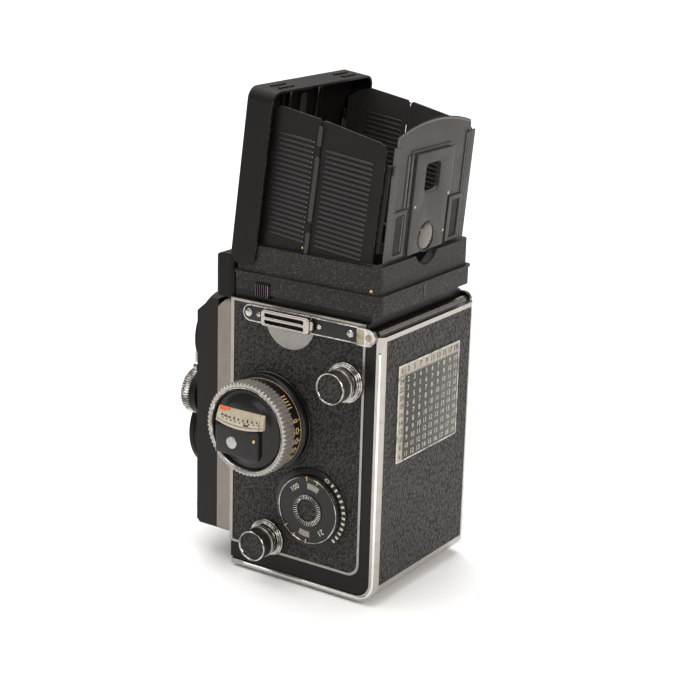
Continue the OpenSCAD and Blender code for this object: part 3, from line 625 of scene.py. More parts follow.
def spoke(centre, angle, inner, outer, width, low, high, plane="x"):
    """A short bar that points away from a centre, at an angle in degrees."""
    made = block((inner, -width / 2, low), (outer, width / 2, high), min(width, high - low) * 0.3, 1)
    made.transform(PLANES[plane] @ Matrix.Translation((centre[0], centre[1], 0))
                   @ Matrix.Rotation(math.radians(angle), 4, "Z"))
    return made


def pair(piece, part, material, *moves):
    """Adds a part and its mirror image on the other side."""
    twin = part.copy()
    piece.add(part, material, *moves)
    piece.add(twin, material, *moves, FLIP)


def clipped(outline, across=math.inf, up=-math.inf):
    """An outline cut off past a value across and below a value up."""
    return [(min(x, across), max(y, up)) for x, y in outline]


# ---- The camera's materials ----

GLOSS = black_paint("gloss_black", (0.008, 0.0074, 0.0068), 0.2, edge_wear_and_highlight=0.35, shine=0.3)
BODY_BLACK = black_paint("body_black", (0.0075, 0.0066, 0.006), 0.32, shine=0.18)
SATIN = black_paint("satin_black", (0.0075, 0.0064, 0.0057), 0.42, grain=0.008, edge_wear_and_highlight=0.8, shine=0.14)
LEAF = black_paint("leaf_black", (0.006, 0.0053, 0.0048), 0.45, grain=0.008, edge_wear_and_highlight=0.8, shine=0.18)
FAR_LEAF = black_paint("far_leaf_black", (0.034, 0.0305, 0.028), 0.5, grain=0.008, edge_wear_and_highlight=0.4)
RIB = black_paint("rib_black", (0.012, 0.0108, 0.0098), 0.3, edge_wear_and_highlight=0.8, shine=0.45)
PANEL = black_paint("panel_black", (0.033, 0.0293, 0.026), 0.42, grain=0.01, edge_wear_and_highlight=1.0)
BEAD = black_paint("bead_black", (0.011, 0.01, 0.0098), 0.16, edge_wear_and_highlight=0.5, shine=0.8)
DEEP = black_paint("deep_black", (0.005, 0.005, 0.005), 0.5, edge_wear_and_highlight=0)
CRINKLE = crinkle_paint("crinkle_black")
SIDE_LEATHER = leatherette("side_leatherette", (32, 0, 0), (1, 1.15, 0.72))
BACK_LEATHER = leatherette("back_leatherette", (0, 8, 0), (1.15, 1, 0.78))
CHROME = metal("bright_chrome", (0.56, 0.535, 0.5), 0.1, spots=0.5)
# A lighter copy of the door rim's metal for the corner bead: painted highlight
HIGHLIGHT_BEAD_METAL = metal("polished_edge_highlight", (0.8, 0.78, 0.76), 0.12)
AGED = metal("aged_brass", (0.34, 0.29, 0.21), 0.35, spots=0.3)
SATIN_CHROME = metal("satin_chrome", (0.42, 0.4, 0.375), 0.27, brush=(1, 1, 1))
BRUSHED = metal("brushed_metal", (0.24, 0.225, 0.21), 0.32, brush=(1, 0.08, 2.2), depth=0.015)
TRIM = metal("trim_metal", (0.42, 0.39, 0.36), 0.2, brush=(1.2, 1.2, 0.25))
THIN_TRIM = metal("thin_trim_metal", (0.34, 0.31, 0.285), 0.34, brush=(1.2, 1.2, 0.25))
SLEEVE = metal("sleeve_metal", (0.22, 0.197, 0.178), 0.4, brush=(1.5, 1.5, 0.1), depth=0.02)
STEEL = metal("turned_steel", (0.4, 0.39, 0.38), 0.3, brush=(0.2, 2, 2))
KNURL = metal("knurled_dark", (0.24, 0.22, 0.2), 0.34, brush=(0.3, 2, 2), depth=0.03)
BRASS = metal("brass", (0.62, 0.4, 0.17), 0.3)
GOLD = plastic("gold_figures", (0.62, 0.42, 0.2), 0.4)
CREAM = plastic("cream_figures", (0.6, 0.54, 0.44), 0.45)
IVORY = plastic("ivory_scale", (0.5, 0.43, 0.31), 0.1, 0.45, Coat_Weight=0.6)
FLUTED = plastic("fluted_metal", (0.4, 0.37, 0.34), 0.3, 0.25, Coat_Weight=0.6, Metallic=0.55)
ORANGE = plastic("needle_orange", (0.75, 0.1, 0.03), 0.35)
INK = plastic("dark_ink", (0.012, 0.011, 0.009), 0.3)
TABLE = metal("table_plate", (0.4, 0.365, 0.31), 0.42, brush=(0.3, 1, 1))
LENS = glass("coated_lens", (0.2, 0.17, 0.32), 0.01, 0.9)
EYEPIECE = plastic("eyepiece_lens", (0.12, 0.1, 0.08), 0.06, 0.35)
SCREEN = glass("ground_screen", (0.8, 0.82, 0.82), 0.45, 0.5)
MIRROR = metal("mirror_silver", (0.9, 0.9, 0.9), 0.03)
PINK = plastic("anodised_pink", (0.3, 0.1, 0.25), 0.3)
PURPLE = plastic("anodised_purple", (0.05, 0.025, 0.05), 0.3)
GEAR = metal("gear_brass", (0.62, 0.48, 0.24), 0.35)
SPOOL = plastic("spool_plastic", (0.03, 0.03, 0.03), 0.4)
GRIP = plastic("grip_black", (0.015, 0.015, 0.015), 0.35)

FINISH = (
    (BODY_BLACK, "body_casting lens_panel"), (MIRROR, "mirror"), (SCREEN, "focusing_screen"),
    (SIDE_LEATHER, "side_leather"), (THIN_TRIM, "side_trims"), (BACK_LEATHER, "door_leather"),
    (CHROME, "strap_plates strap_clips focus_grip door_hinge_pin release_button self_timer_lever"),
    (SATIN, "nose_housing pressure_plate hood_lid magnifier_arm hood_catch_right hood_catch_left"
            " viewing_lens taking_lens"),
    (GLOSS, "focus_flange meter_readout focus_scale_ring film_speed_scale film_speed_dial"),
    (SATIN_CHROME, "knob_flanges upper_spool_knob lower_spool_knob crank_hub crank_arm door_latch"
                   " aperture_wheel shutter_wheel flash_socket"),
    (CREAM, "meter_cell counter_dial"), (IVORY, "meter_window"), (ORANGE, "meter_needle"),
    (GRIP, "crank_grip"), (GEAR, "takeup_gear"), (SPOOL, "takeup_spool supply_spool"),
    (STEEL, "lower_roller upper_roller tripod_socket"), (TRIM, "back_door feet"),
    (TABLE, "exposure_table"), (CRINKLE, "hood_base"), (LEAF, "front_leaf_right rear_leaf_right"),
    (FAR_LEAF, "front_leaf_left rear_leaf_left"), (PANEL, "hood_rear_panel"),
    (EYEPIECE, "rear_eyepiece"), (LENS, "magnifier_lens lens_glass"), (SLEEVE, "lens_sleeve"))


def finish_nodes():
    for material, nodes in FINISH:
        for node in nodes.split():
            materials = frame["nodes"][node].data.materials
            materials.clear()
            materials.append(material)


# ---- Body ----

RAIL_Z = 118.2  # middle of the strap rails
RAIL_FRONT = -27.5  # where their round end starts


def strap_rails():
    rails = Piece("strap_rails", "body", "bright_chrome", ("strap_plates",))
    outer, inner = (arc((RAIL_FRONT, RAIL_Z), r, 90, 270, 16) + [(back, RAIL_Z - r), (back, RAIL_Z + r)]
                    for r, back in ((3.7, 26.7), (3.1, 26.1)))
    pair(rails, plate([outer, inner], ON_TRIM, 38.35, "x", 0.18), CHROME)
    pair(rails, plate([inner], 37.45, 38.1, "x", 0.05), GLOSS)
    for y, r in ((-28.1, 1.8), (-22.9, 1.2), (7.6, 1.2), (23, 1.7)):
        pair(rails, dome((y, RAIL_Z), r, 38.05, 0.95), CHROME)
    half = arc((-7.4, RAIL_Z), 12.6, 180, 360, 40)  # guard plate under the clip
    pair(rails, plate([half], ON_LEATHER, 37.62, "x", 0.12), BRUSHED)
    rails.done()


def strap_clips():
    clips = Piece("strap_clip_frames", "body", "bright_chrome", ("strap_clips",))
    outer = oblong((-19.4, 114.9), (4.8, 121.9), 1.6)
    slots = [oblong((-17.7, z), (2, z + 1.5), 0.7) for z in (116, 118.9)]
    pair(clips, plate([outer] + slots, 38.4, 41.9, "x", 0.5, 3), TRIM)
    pair(clips, plate([oblong((-18.6, 115.6), (4, 121.2), 1)], 38.4, 39.4, "x", 0.1), DEEP)
    pair(clips, block((38.4, 3.4, 116.3), (40.9, 5.8, 120.5), 0.9, 3), TRIM)
    clips.done()
    ends = Piece("hinge_end_caps", "body", "bright_chrome")
    pair(ends, block((39.15, 27.1, 115), (39.45, 30.3, 121.4), 0.12, 1), AGED)
    pair(ends, dome((32.4, RAIL_Z), 1.5, 39.1, 0.5, slot=True), AGED)
    ends.done()


# ---- Focusing knob with the exposure meter ----

FIGURES = "∞ 50 30 20 15 12 10 9 8 7 6 5 4.5 4 3.8 3.5 3.3 3.1".split()
FIGURE_R = 19.43  # just outside the scale's barrel
FIGURE_STEP = 13.4  # degrees


def focus_base():
    base = Piece("focus_base", "body", "black_paint", ("focus_flange",))
    base.add(lathe([(0, ON_TRIM), (21.5, ON_TRIM), (21.8, 37.7), (21.8, 38.3), (21.5, 38.58),
                    (21, 38.62), (0, 38.62)], FOCUS), GLOSS)
    base.add(lathe([(0, 31.6), (4, 31.6), (4, 52.4), (0, 52.4)], FOCUS, steps=32), GLOSS)
    base.done()


def focus_scale():
    scale = Piece("focus_scale", "focus_knob", "scale_black", ("focus_scale_ring",))
    scale.add(lathe([(4.1, 39), (20.8, 39), (21.1, 39.3), (21.1, 40.8), (20.8, 41.1), (19.9, 41.3),
                     (19.4, 41.6), (19.4, 47.2), (4.1, 47.2)], FOCUS), GLOSS)
    scale.add(lathe([(19.3, 41.62), (19.52, 41.66), (19.52, 41.78), (19.3, 41.82)], FOCUS), GOLD)
    for i, figure in enumerate(FIGURES):
        angle = 16.5 - FIGURE_STEP * i
        text = lettering(figure, 2.9, (0, 0, 0), "z")
        text.transform(Matrix.Diagonal((1.22, 1, 1, 1)))
        scale.add(wrapped(text, FIGURE_R, FOCUS, 45.6, angle), GOLD)
        tick = block((-0.5, -0.15, -0.05), (0.5, 0.15, 0.05), 0.02, 1)
        scale.add(wrapped(tick, FIGURE_R, FOCUS, 42.4, angle), GOLD)
    for i in range(5):
        mark = block((-1.6, -0.26, -0.05), (1.6, 0.26, 0.05), 0.02, 1)
        scale.add(wrapped(mark, FIGURE_R, FOCUS, 45.5, 34 + 4.2 * i), GOLD)
    scale.done()


def focus_grip():
    grip = Piece("focus_grip_ring", "focus_knob", "bright_chrome", ("focus_grip",))
    flutes = 66
    depth = {2: 0.42, 3: 0.42, 4: 0.42, 5: 0.3}  # of the flutes, by point of the profile
    grip.add(lathe([(17.95, 47.25), (19.7, 47.25), (20.15, 47.6), (20.15, 53.1), (20.05, 53.8),
                    (19.75, 54.3), (19.1, 54.38), (18.6, 54.1), (18.05, 54)], FOCUS, steps=flutes * 8,
                   wave=lambda a, i: depth.get(i, 0) * math.cos(flutes * a)), FLUTED)
    grip.add(lathe([(17.9, 53.9), (18.1, 54), (18.55, 54.15), (18.5, 54.35), (18.1, 54.3), (17.9, 54.1)],
                   FOCUS, steps=128), CHROME)
    grip.add(lathe([(4.1, 47.2), (18, 47.2), (18, 48.4), (4.1, 48.4)], FOCUS), GLOSS)
    grip.done()


def meter_face():
    face = Piece("meter_face", "body", "scale_black", ("meter_readout", "meter_window"))
    face.add(lathe([(0, 52.4), (17.75, 52.4), (17.75, 54), (17.55, 54.3), (17.2, 54.1), (16.7, 53.3),
                    (14.8, 53.5), (13.4, 54.5), (12.7, 54.85), (0, 54.9)], FOCUS), GLOSS)
    at = Matrix.Translation((0, *FOCUS))
    face.add(block((54.7, -13.6, -11.3), (57.3, 8.6, 1.1), 0.55, 3), GLOSS, at)
    face.add(block((57.2, 2.4, -9.8), (57.45, 8, 0), 0.12, 1), DEEP, at)
    face.add(dome((-5, -5.6), 2.7, 57.2, 0.7, slot=True), STEEL, at)
    face.add(dome((6.6, -2.7), 0.75, 57.45, 0.45), BRASS, at)
    face.done()


def meter_scale():
    """The bowed ivory scale and its marks, placed from -1 to 1 across and from 0 to 1 down."""

    def slope(t, s, out=0.0):
        bulge = 1 - t * t
        short = 1 - 0.1 * (1 - s) * (t < 0)
        x = 55.45 + (0.95 + 1.1 * bulge) * s ** 0.8 + 0.15 * math.sin(math.pi * s)
        drop = 7.9 * (1 - 0.2 * t * t) * s
        return Vector((min(x + 0.94 * out, 58), FOCUS[0] - 1.8 + 12.3 * t * short,
                       FOCUS[1] + 8.8 - drop + 0.34 * out))

    window = Piece("meter_scale", "body", "scale_ivory")
    window.add(between(slope, lambda t, s: Vector((54.7, *slope(t, s).yz)), spread(-1, 1, 28),
                       spread(0, 1, 10)), IVORY)

    def patch(t0, t1, s0, s1, material, out=0.07):
        window.add(between(lambda t, s: slope(t, s, out), lambda t, s: slope(t, s, -0.1),
                           spread(t0, t1, 4), spread(s0, s1, 2)), material)

    patch(-0.95, -0.45, 0.02, 0.14, ORANGE)
    patch(-0.93, -0.62, 0.14, 0.22, ORANGE)
    patch(-0.97, 0.98, 0.83, 0.86, INK)
    for i in range(9):
        t = -0.8 + 0.19 * i
        patch(t, t + 0.05, 0.38 + 0.03 * (i % 3), 0.55, INK)
        patch(t + 0.06, t + 0.12, 0.6, 0.66, INK)
    patch(-0.75, -0.4, 0.46, 0.5, INK)
    patch(0.22, 0.42, 0.68, 0.78, INK)
    patch(0.84, 0.855, 0, 0.99, INK)
    window.done()


# ---- Film speed dial ----

def speed_scale():
    scale = Piece("speed_scale", "body", "black_paint", ("film_speed_scale",))
    scale.add(lathe([(0, ON_LEATHER), (17.8, ON_LEATHER), (18, 37.45), (18, 37.95), (17.6, 38.2),
                     (0, 38.28)], ISO), GLOSS)
    for i in range(12):
        scale.add(spoke(ISO, 50 - 8.6 * i, 15.95, 17.6, 1, 38, 38.34), CREAM)
    scale.add(lettering("0", 2.6, (*around(ISO, 16.6, math.degrees(1.05)), 38.27), turn=60), CREAM)
    scale.done()


def speed_dial():
    dial = Piece("speed_dial", "film_speed_dial", "scale_black", ("film_speed_dial",))
    dial.add(lathe([(0, 33.5), (2, 33.5), (2, 38.5), (15.1, 38.5), (15.4, 38.8), (15.4, 40.2),
                    (15.2, 40.5), (14.2, 40.5), (14.05, 40.35), (0, 40.4)], ISO, steps=240,
                   wave=lambda a, i: 0.07 * math.cos(60 * a) if i in (4, 5) else 0), GLOSS)
    dial.add(lathe([(14.25, 40.4), (14.3, 40.8), (14.55, 40.95), (14.8, 40.8), (14.85, 40.4)],
                   ISO), CHROME)
    dial.add(lathe([(4.9, 40.3), (4.9, 40.85), (7.1, 40.6), (7.1, 40.3)], ISO), DEEP)
    for i in range(40):
        dial.add(spoke(ISO, i * 9, 5, 7.1, 0.44, 40.5, 41.2), CHROME)
    dial.add(dome(ISO, 4.9, 40.35, 0.7), SIDE_LEATHER)
    for angle in (92, 70, -92, -118, -140):
        dial.add(spoke(ISO, angle, 13.2, 15.2, 0.35, 40.4, 41), GOLD)

    def label(text, angle, radius, size, material):
        at = (*around(ISO, radius, angle), 40.4)
        dial.add(lettering(text, size, at, turn=angle - 90), material)

    def pane(start, end):
        ring = arc(ISO, 12.3, start, end, 12) + arc(ISO, 9.6, end, start, 12)
        dial.add(plate([ring], 40.36, 40.46, "x", 0.04, 1), BRUSHED)

    label("100", 128, 11, 2.4, CREAM)
    label("21", -52, 11, 2.4, CREAM)
    pane(62, 92)
    pane(-112, -84)
    for i, text in enumerate("248"):
        label(text, 92 - 10 * i, 10.9, 1.7, INK)
        label(text, -86 - 10 * i, 10.9, 1.7, INK)
    dial.done()


# ---- Spool knobs ----

def spool_flanges():
    flanges = Piece("spool_knob_flanges", "body", "bright_chrome", ("knob_flanges",))
    for centre, limits in ((TAKEUP, {"across": 29.85}), (SUPPLY, {"up": 11.9})):
        for radius, low, high, bevel in ((8.7, ON_TRIM, 38.7, 0.45), (8.15, 38.55, 39.4, 0.35),
                                         (7.5, 39.25, 40.05, 0.3)):
            outline = clipped(circle(centre, radius, 96), **limits)
            flanges.add(plate([outline], low, high, "x", bevel, 3), CHROME)
        for angle in (62, -40):
            flanges.add(dome(around(centre, 7.55, angle), 0.7, 39.2, 0.5), CHROME)
    flanges.done()


def spool_knobs():
    for name, centre in (("upper_spool_knob", TAKEUP), ("lower_spool_knob", SUPPLY)):
        knob = Piece(name + "_turned", name, "bright_chrome", (name,))
        ribs = 84
        knob.add(lathe([(0, 27.4), (3.05, 27.4), (3.05, 40.3), (5.6, 40.35), (5.8, 41.2), (6.4, 41.3),
                        (7, 41.55), (7, 42), (6.35, 42.2), (6.35, 42.6), (7, 42.85), (7, 43.3),
                        (6.7, 43.5), (0, 43.5)], centre, steps=96), SATIN_CHROME)
        knob.add(lathe([(0, 43.4), (6.6, 43.4), (6.6, 48.6), (0, 48.6)], centre, steps=ribs * 4,
                       wave=lambda a, i: 0.11 * math.cos(ribs * a)), KNURL)
        knob.add(lathe([(5.95, 48.3), (6.6, 48.3), (6.8, 48.6), (6.8, 49.1), (6.62, 49.38),
                        (6.35, 49.38), (6.1, 49.2), (5.95, 48.9)], centre), CHROME)
        knob.add(dome(centre, 6.05, 48.4, 0.7), SIDE_LEATHER)
        knob.done()


# ---- Back ----

def door_beads():
    """The rounded bead along the door's corner on either side, in a metal lighter than the door's rim as a
    painted highlight along the corner.
    """
    beads = Piece("door_edge_beads", "door", "satin_metal")
    path = soft([(36.9, 112), (36.9, 2.9), (-30, 2.9)], [0, 9, 0], 10, False)
    pair(beads, tube([(37.3, y, z) for y, z in path], 0.6), HIGHLIGHT_BEAD_METAL)
    beads.done()


TABLE_LOW, TABLE_HIGH, TABLE_FACE = (-24.7, 61.2), (24.7, 104), 38.5


def exposure_table():
    table = Piece("exposure_guide", "door", "table_plate", ("exposure_table",))
    table.add(plate([oblong(TABLE_LOW, TABLE_HIGH, 0.8)], 38.2, 38.46, "y", 0.1), TABLE)
    edge = [oblong(TABLE_LOW, TABLE_HIGH, 0.8), oblong((-24, 61.9), (24, 103.3), 0.5)]
    table.add(plate(edge, 38.4, 38.62, "y", 0.1), CHROME)
    low, high = (-23.9, 62), (19.4, 98.6)  # the dark field of figures
    table.add(plate([oblong(low, high, 0.3)], 38.45, 38.54, "y", 0.03), INK)
    for line in (((-23.9, 98.9), (23.9, 99.15)), ((19.75, 62), (20, 103.4))):
        table.add(plate([oblong(*line, 0.05)], 38.45, 38.52, "y", 0.03, 1), INK)

    def figure(number, size, x, z, material, out=TABLE_FACE):
        table.add(lettering(str(number), size, (x, z, out), "y", 0.06, mirror=True), material)

    columns, rows = 9, 10
    wide, tall = (high[0] - low[0]) / columns, (high[1] - low[1]) / rows
    for c in range(columns):
        x = high[0] - wide * (c + 0.5)
        figure(3 + 2 * c, 2.5, x, 101.2, INK)
        for r in range(rows):
            figure(2 + c + r, 2.3, x, high[1] - tall * (r + 0.5), CREAM, TABLE_FACE + 0.06)
    for r in range(rows):
        figure(24 - 2 * r, 2.3, 21.9, high[1] - tall * (r + 0.5), INK)
    figure(0, 2.3, 21.9, 101.2, INK)
    table.done()


# ---- Hood ----

PIVOT = Vector((0, -32.2, 143.5))
LEANED = Matrix.Translation(PIVOT) @ Matrix.Rotation(-LEAN, 4, "X")
PANEL_AT = Matrix.Translation((0, 33.2, 147.4)) @ Matrix.Rotation(math.radians(-4.8), 4, "X")
PRESSED = PANEL_AT @ Matrix.Diagonal((1, 0.35, 1, 1))  # keeps the relief clear of folded walls
MID_V, REAR_V = 29.05, 61.9  # the walls' middle and rear hinges, measured back from the lid
LEAF_X, LEAF_OUT = 33, 33.8  # inner and outer face of a wall
SIDES = (("right", Matrix.Identity(4)), ("left", FLIP))


def leaf_ribs():
    """Ribs pressed into the four wall leaves."""
    for side, move in SIDES:
        black = RIB if side == "right" else FAR_LEAF
        for name, v0, v1, count in (("front_leaf", 7.6, 26, 21), ("rear_leaf", 32.4, 55.4, 20)):
            ribs = Piece(f"{name}_{side}_ribs", f"{name}_{side}", "hood_paint")
            for i in range(count):
                u = 11.2 + 2.1 * i
                rib = block((LEAF_X - 0.22, v0, u - 0.52), (LEAF_OUT + 0.45, v1, u + 0.52), 0.42, 3)
                ribs.add(rib, black, LEANED, move)
                if name == "front_leaf":
                    rubbed = block((LEAF_OUT + 0.05, v1 + 0.1, u - 0.25),
                                   (LEAF_OUT + 0.35, v1 + 0.5, u + 0.25), 0.14, 2)
                    ribs.add(rubbed, STEEL, LEANED, move)
            if name == "front_leaf":
                for low, high in ((4.6, 15.9), (20.3, 47.7), (52.1, 60.4)):
                    bead = lathe([(0, low), (0.9, low), (1.15, low + 0.3), (1.15, high - 0.3), (0.9, high),
                                  (0, high)], (34, MID_V), "z", 20)
                    ribs.add(bead, black, LEANED, move)
                for v, u in ((26.9, 8.6), (27.1, 5.6)):
                    ribs.add(dome((v, u), 0.55, LEAF_OUT - 0.1, 0.5), BRASS, LEANED, move)
            ribs.done()


def rear_panel():
    panel = Piece("rear_panel_pressing", "rear_panel", "hood_paint", ("hood_rear_panel", "rear_eyepiece"))
    arch, radius, half = 55.4, 95, 28.3
    low = arch - radius
    end = math.degrees(math.asin(half / radius))
    top = arc((0, low), radius, 90 - end, 90 + end, 24)
    window = oblong((-4.5, 25.8), (7.1, 38), 2.4)
    eye = (1.3, 6.7)
    hole = circle(eye, 6.25, 48)
    corners = [0, 3.5] + [0] * (len(top) - 2) + [3.5, 0]
    sheet = soft([(half, 0)] + top + [(-half, 0)], corners, 5)
    panel.add(plate([sheet, window], -3.1, -2.4, "y", 0.15), PANEL, PRESSED)
    rim = [(x, -2.4, z) for x, z in soft([(half, 44)] + top + [(-half, 44)], corners, 5)]
    panel.add(tube(rim, 0.62), BEAD, PRESSED)
    rail = oblong((28.2, 0), (31.9, 47.6), 0.8)
    pair(panel, plate([rail], -1, 0, "y", 0.3, 3), PANEL, PRESSED)
    pair(panel, plate([oblong((26.7, 0.4), (28.6, 47), 0.5)], -3.1, -0.25, "y", 0.3), PANEL, PRESSED)
    pair(panel, tube([(26.7, -1.6, 20.5), (26.7, -1.6, 46.5)], 0.85), BEAD, PRESSED)
    panel.add(plate([oblong((-12.9, 0.5), (14.9, 43), 1.2), window, hole], -1.05, 1, "y", 0.3, 3),
              PANEL, PANEL_AT)
    ledge = [oblong((-14.4, 0.5), (17.2, 44.4), 1.4), oblong((-12.7, 0.7), (14.7, 42.8), 1)]
    panel.add(plate(ledge, -3.05, -0.9, "y", 0.35, 3), PANEL, PRESSED)
    for x, y in ((16.1, -0.9), (18.7, -1.7), (-13.7, -0.9), (-16.2, -1.7)):
        panel.add(tube([(x, y, 21), (x, y, 42.5)], 0.85), BEAD, PRESSED)
    frame_hole = oblong((18.6, 2.2), (25.4, 18.6), 1.2)
    frame_edge = oblong((16.6, 0.5), (27.2, 20.5), 0.8)
    pair(panel, plate([frame_edge, frame_hole], -3.05, -0.1, "y", 0.35, 3), PANEL, PRESSED)
    pair(panel, plate([oblong((18.2, 1.4), (25.8, 19.2), 0.3)], -3.1, -1.4, "y", 0.1), LEAF, PRESSED)
    pair(panel, tube([(19.2, -1.2, 2.9), (19.2, -1.2, 17.9)], 0.45), BEAD, PRESSED)
    for x, z in ((13, 21), (-13, 23), (-12, 7)):
        panel.add(dome((x, z), 0.7, 0.95, 0.3, "y"), STEEL, PANEL_AT)
    panel.add(lathe([(0, -1.6), (5.6, -1.6), (5.6, 0.7), (5.1, 1), (3.4, 1.25), (0, 1.4)], eye, "y", 64),
              EYEPIECE, PANEL_AT)
    panel.add(lathe([(5.6, 0), (6.25, 0), (6.25, 1.1), (5.95, 1.35), (5.6, 1.1)], eye, "y", 64),
              BEAD, PANEL_AT)
    # Knuckles of the right leaf's hinge
    for u in (16, 48):
        knuckle = lathe([(0.5, u), (0.9, u), (0.9, u + 4), (0.5, u + 4)], (32.6, REAR_V), "z", 24)
        panel.add(knuckle, SATIN, LEANED)
        panel.add(block((30.6, REAR_V - 0.1, u), (32, REAR_V + 1.5, u + 4), 0.1, 1), SATIN, LEANED)
    panel.done()


def lid_fittings():
    """Screws, the finder's slides and the bright rim inside the lid."""
    lid = Piece("lid_fittings", "body", "hood_paint")
    for x in (31, 24.5, 10.5, -24.5):
        lid.add(dome((x, 65.6), 0.7, -5.05, 0.5, "y"), STEEL, LEANED)
    lid.add(dome((-1.5, 65.4), 0.8, -5.05, 0.6, "y"), BRASS, LEANED)
    lid.add(plate([oblong((-2.6, 52.2), (1.8, 62.8), 2.1)], -5.05, -3.7, "y", 0.4, 3), PANEL, LEANED)
    pair(lid, block((9.6, -5.1, 44), (11.2, -3.2, 64.5), 0.3, 2), BEAD, LEANED)
    pair(lid, block((13.2, -5.1, 44), (15, -4.1, 64), 0.3, 2), SATIN, LEANED)
    lid.done()


def catches():
    for side, move in SIDES:
        catch = Piece(f"hood_catch_{side}_slider", f"hood_catch_{side}", "hood_paint",
                      (f"hood_catch_{side}",))
        catch.add(block((34.9, -26.2, 124.9), (36.5, -18.9, 131.6), 0.25), SATIN, move)
        for i in range(7):
            y = -25.9 + 1.02 * i
            catch.add(block((36.2, y, 125.2), (37.25, y + 0.62, 131.3), 0.22, 2), SATIN, move)
            catch.add(block((37.05, y + 0.12, 125.6), (37.3, y + 0.5, 130.9), 0.1, 1),
                      PINK if i == 6 else PURPLE, move)
        catch.done()


def base_fittings():
    base = Piece("hood_base_fittings", "body", "hood_paint")
    pair(base, dome((30.8, 136.8), 0.75, 35.8, 0.6), BRASS)
    base.add(dome((5, 131), 1, 35.4, 0.4, "y", slot=True), RIB)
    base.add(block((1.4, 35.3, 128.6), (2.6, 35.75, 133.4), 0.15, 1), RIB)
    base.done()


# ---- Lens standard ----

def lens(name, z, front, seat, back, radius):
    """A lens barrel with its bayonet, its stepped inner cone and the ring round its seat."""
    barrel = Piece(f"{name}_barrel", "lens_standard", "lens_black", (name,))
    cone = []
    rings = 7
    step = [(0, 0), (0, 0.32), (-0.22, 0.34)]
    for i in range(rings):
        cone += moved(step, radius - 3.4 - (radius - 16.2) * i / rings,
                      front + 3.2 + (seat - 2.6 - front) * i / rings)
    tube_end = [(12.5, back), (16, back), (16, seat), (radius - 2, seat)]
    rim = [(-2, 5.6), (-0.4, 5.4), (0, 5), (0, 3.7), (-0.35, 3.4), (-0.35, 2.9), (0, 2.6), (0, 0.4),
           (-0.4, 0), (-1, 0), (-1.3, 0.4), (-2.3, 0.9), (-2.5, 2.9)]
    profile = tube_end + moved(rim, radius, front)
    barrel.add(lathe(profile + cone + [(12.5, seat - 1.2)], (0, z), "y"), SATIN)
    for angle in (90, 210, 330):
        barrel.add(spoke((0, z), angle, radius - 2.9, radius - 1.2, 7, front + 0.55, front + 1.3, "y"),
                   SATIN_CHROME)
    ring = moved([(-3.3, 2.9), (-2.7, 2.75), (-2.45, 3.3), (-3.3, 3.3)], radius, front)
    barrel.add(lathe(ring, (0, z), "y"), CHROME)
    base = moved([(-2.2, -1), (1.6, -0.9), (1.9, -0.6), (1.9, 0.1), (-2.2, 0.1)], radius, seat)
    barrel.add(lathe(base, (0, z), "y"), SATIN_CHROME)
    barrel.done()


def lens_glasses():
    glasses = Piece("lens_glasses", "lens_standard", "lens_glass", ("lens_glass",))
    for z, low, high in ((VIEWING_Z, -64, -67.8), (TAKING_Z, -65, -69.5)):
        bow = [(12.45 * math.cos(t), low + (high - low) * (0.25 + 0.75 * math.sin(t)))
               for t in (math.pi / 2 * k / 9 for k in range(9))]
        glasses.add(lathe([(0, low), (12.45, low)] + bow + [(0, high)], (0, z), "y"), LENS)
    rear = [(0, -46.5), (12.4, -46.5), (12.4, -49), (6, -49.8), (0, -50)]
    glasses.add(lathe(rear, (0, TAKING_Z), "y"), LENS)
    glasses.done()


def standard_front():
    """Leatherette, thin trim and screws on the front of the lens panel."""
    front = Piece("lens_panel_front", "lens_standard", "black_paint")
    field = oblong((-33, 19), (33, 111.6), 2.2)
    front.add(plate([field], -58.45, -58.05, "y", 0.12), SIDE_LEATHER)
    trim = [oblong((-33.7, 18.3), (33.7, 112.3), 2.8), field]
    front.add(plate(trim, -58.6, -58.05, "y", 0.14), THIN_TRIM)
    housing = [oblong((-27.4, WHEEL_Z - 15.4), (27.4, WHEEL_Z + 15.4), 4.6)]
    front.add(plate(housing, -64.25, -63.9, "y", 0.12), RIB)
    for x in (-24.6, 24.6):
        for z in (WHEEL_Z - 13, WHEEL_Z + 13):
            if (x, z > WHEEL_Z) != (24.6, True):
                front.add(dome((x, z), 0.9, -64.2, -0.45, "y"), STEEL)
    collar = [(5.2, -59.4), (6.4, -59.2), (6.6, -58.1), (5.2, -58.1)]
    front.add(lathe(collar, RELEASE, "y", 48), SATIN_CHROME)
    front.done()


def wheels():
    for name, x in (("aperture_wheel", AT_APERTURE), ("shutter_wheel", AT_SHUTTER)):
        wheel = Piece(name + "_turned", name, "bright_chrome", (name,))
        middle = (x, WHEEL_Z)
        teeth = 54
        depth = {2: 0.26, 3: 0.26, 4: 0.15}  # of the teeth, by point of the profile
        wheel.add(lathe([(0, -54.2), (2, -54.2), (2, -62.9), (9.9, -62.9), (10.3, -63.3), (10.3, -66.6),
                         (9.7, -66.9), (0, -66.9)], middle, "y"), SATIN)
        wheel.add(lathe([(8.6, -66.7), (9.9, -66.7), (10.22, -67.1), (10.22, -70.5), (9.9, -71.1),
                         (9.3, -71.2), (8.8, -70.9), (8.6, -70.4)], middle, "y", teeth * 8,
                        lambda a, i: depth.get(i, 0) * math.cos(teeth * a)), CHROME)
        face = [(0, -66.6), (8.7, -66.6), (8.7, -70.2), (7.6, -70.4), (0, -70.7)]
        wheel.add(lathe(face, middle, "y"), GLOSS)
        for i in range(12):
            wheel.add(spoke(middle, 30 * i, 6.4, 7.4, 0.35, -70.62, -70.3, "y"), CREAM)
        wheel.add(dome(middle, 1.6, -70.6, -0.45, "y"), STEEL)
        wheel.done()


# ---- Crank and counter ----

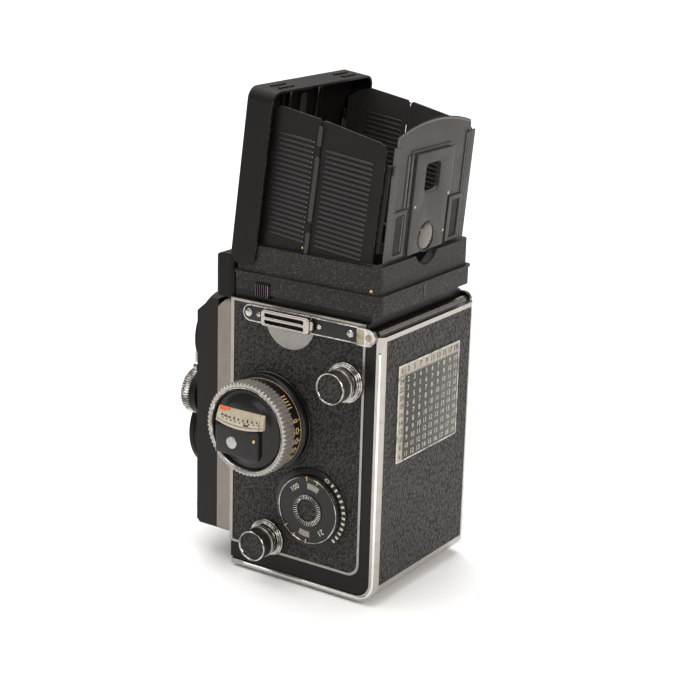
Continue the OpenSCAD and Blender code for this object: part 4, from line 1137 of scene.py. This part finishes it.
def crank():
    hub = Piece("crank_hub_ring", "crank", "bright_chrome")
    ribs = 48
    hub.add(lathe([(7.4, -38.95), (9.45, -38.95), (9.75, -39.2), (9.75, -40.3), (9.4, -40.85),
                   (8.6, -41), (7.8, -40.8), (7.4, -40.5)], CRANK, steps=ribs * 6,
                  wave=lambda a, i: 0.16 * math.cos(ribs * a) if i in (2, 3) else 0),
            SATIN_CHROME)
    hub.done()
    arm = Piece("crank_arm_inlay", "crank_arm", "bright_chrome")
    tip = CRANK[0] - 21
    groove = oblong((tip + 4.6, CRANK[1] - 2.3), (CRANK[0] - 3.2, CRANK[1] + 2.3), 1.6)
    arm.add(plate([groove], -44.55, -44.3, "x", 0.1), GLOSS)
    arm.add(lathe([(2.6, -44.3), (3.9, -44.3), (4, -44.6), (3.5, -44.85), (2.8, -44.8)], (tip, CRANK[1]),
                  steps=48), CHROME)
    arm.done()


COUNTER_R = 4.6  # from the counter's middle to its figures


def counter_figures():
    dial = Piece("counter_figures", "counter", "scale_ivory")
    for i in range(12):
        at = (*around(COUNTER, COUNTER_R, 30 * i), -35.88)
        dial.add(lettering(str(i + 1), 1.6, at, "x", 0.06, 90 - 30 * i, True), INK)
    dial.done()
    window = Piece("counter_window_ring", "body", "bright_chrome")
    window.add(lathe([(2, -37.3), (2.9, -37.3), (2.95, -37.75), (2.6, -38), (2.1, -37.8)],
                     (COUNTER[0] + COUNTER_R, COUNTER[1]), steps=40), CHROME)
    window.done()


SOFT_EDGE, DOOR_EDGE = 0.3, 0.9
SOFT_NODES = ("lens_panel nose_housing hood_base crank_arm hood_lid lens_sleeve self_timer_lever"
              " release_button flash_socket door_latch crank_grip back_door")


def soften():
    """A small bevel on the edges of nodes that stay as the CAD made them."""
    for node in SOFT_NODES.split():
        bevel = frame["nodes"][node].modifiers.new("soft_edges", "BEVEL")
        bevel.width = (DOOR_EDGE if node == "back_door" else SOFT_EDGE) * MM
        bevel.segments = 2
        bevel.limit_method = "ANGLE"
        bevel.angle_limit = math.radians(40)


finish_nodes()
soften()
lens("viewing_lens", VIEWING_Z, -72.6, -64, -46, 19)
lens("taking_lens", TAKING_Z, -75.5, -64, -41, 19.4)
lens_glasses()
standard_front()
wheels()
crank()
counter_figures()
strap_rails()
strap_clips()
focus_base()
focus_scale()
focus_grip()
meter_face()
meter_scale()
speed_scale()
speed_dial()
spool_flanges()
spool_knobs()
door_beads()
exposure_table()
leaf_ribs()
rear_panel()
lid_fittings()
catches()
base_fittings()
make_studio()
make_camera()
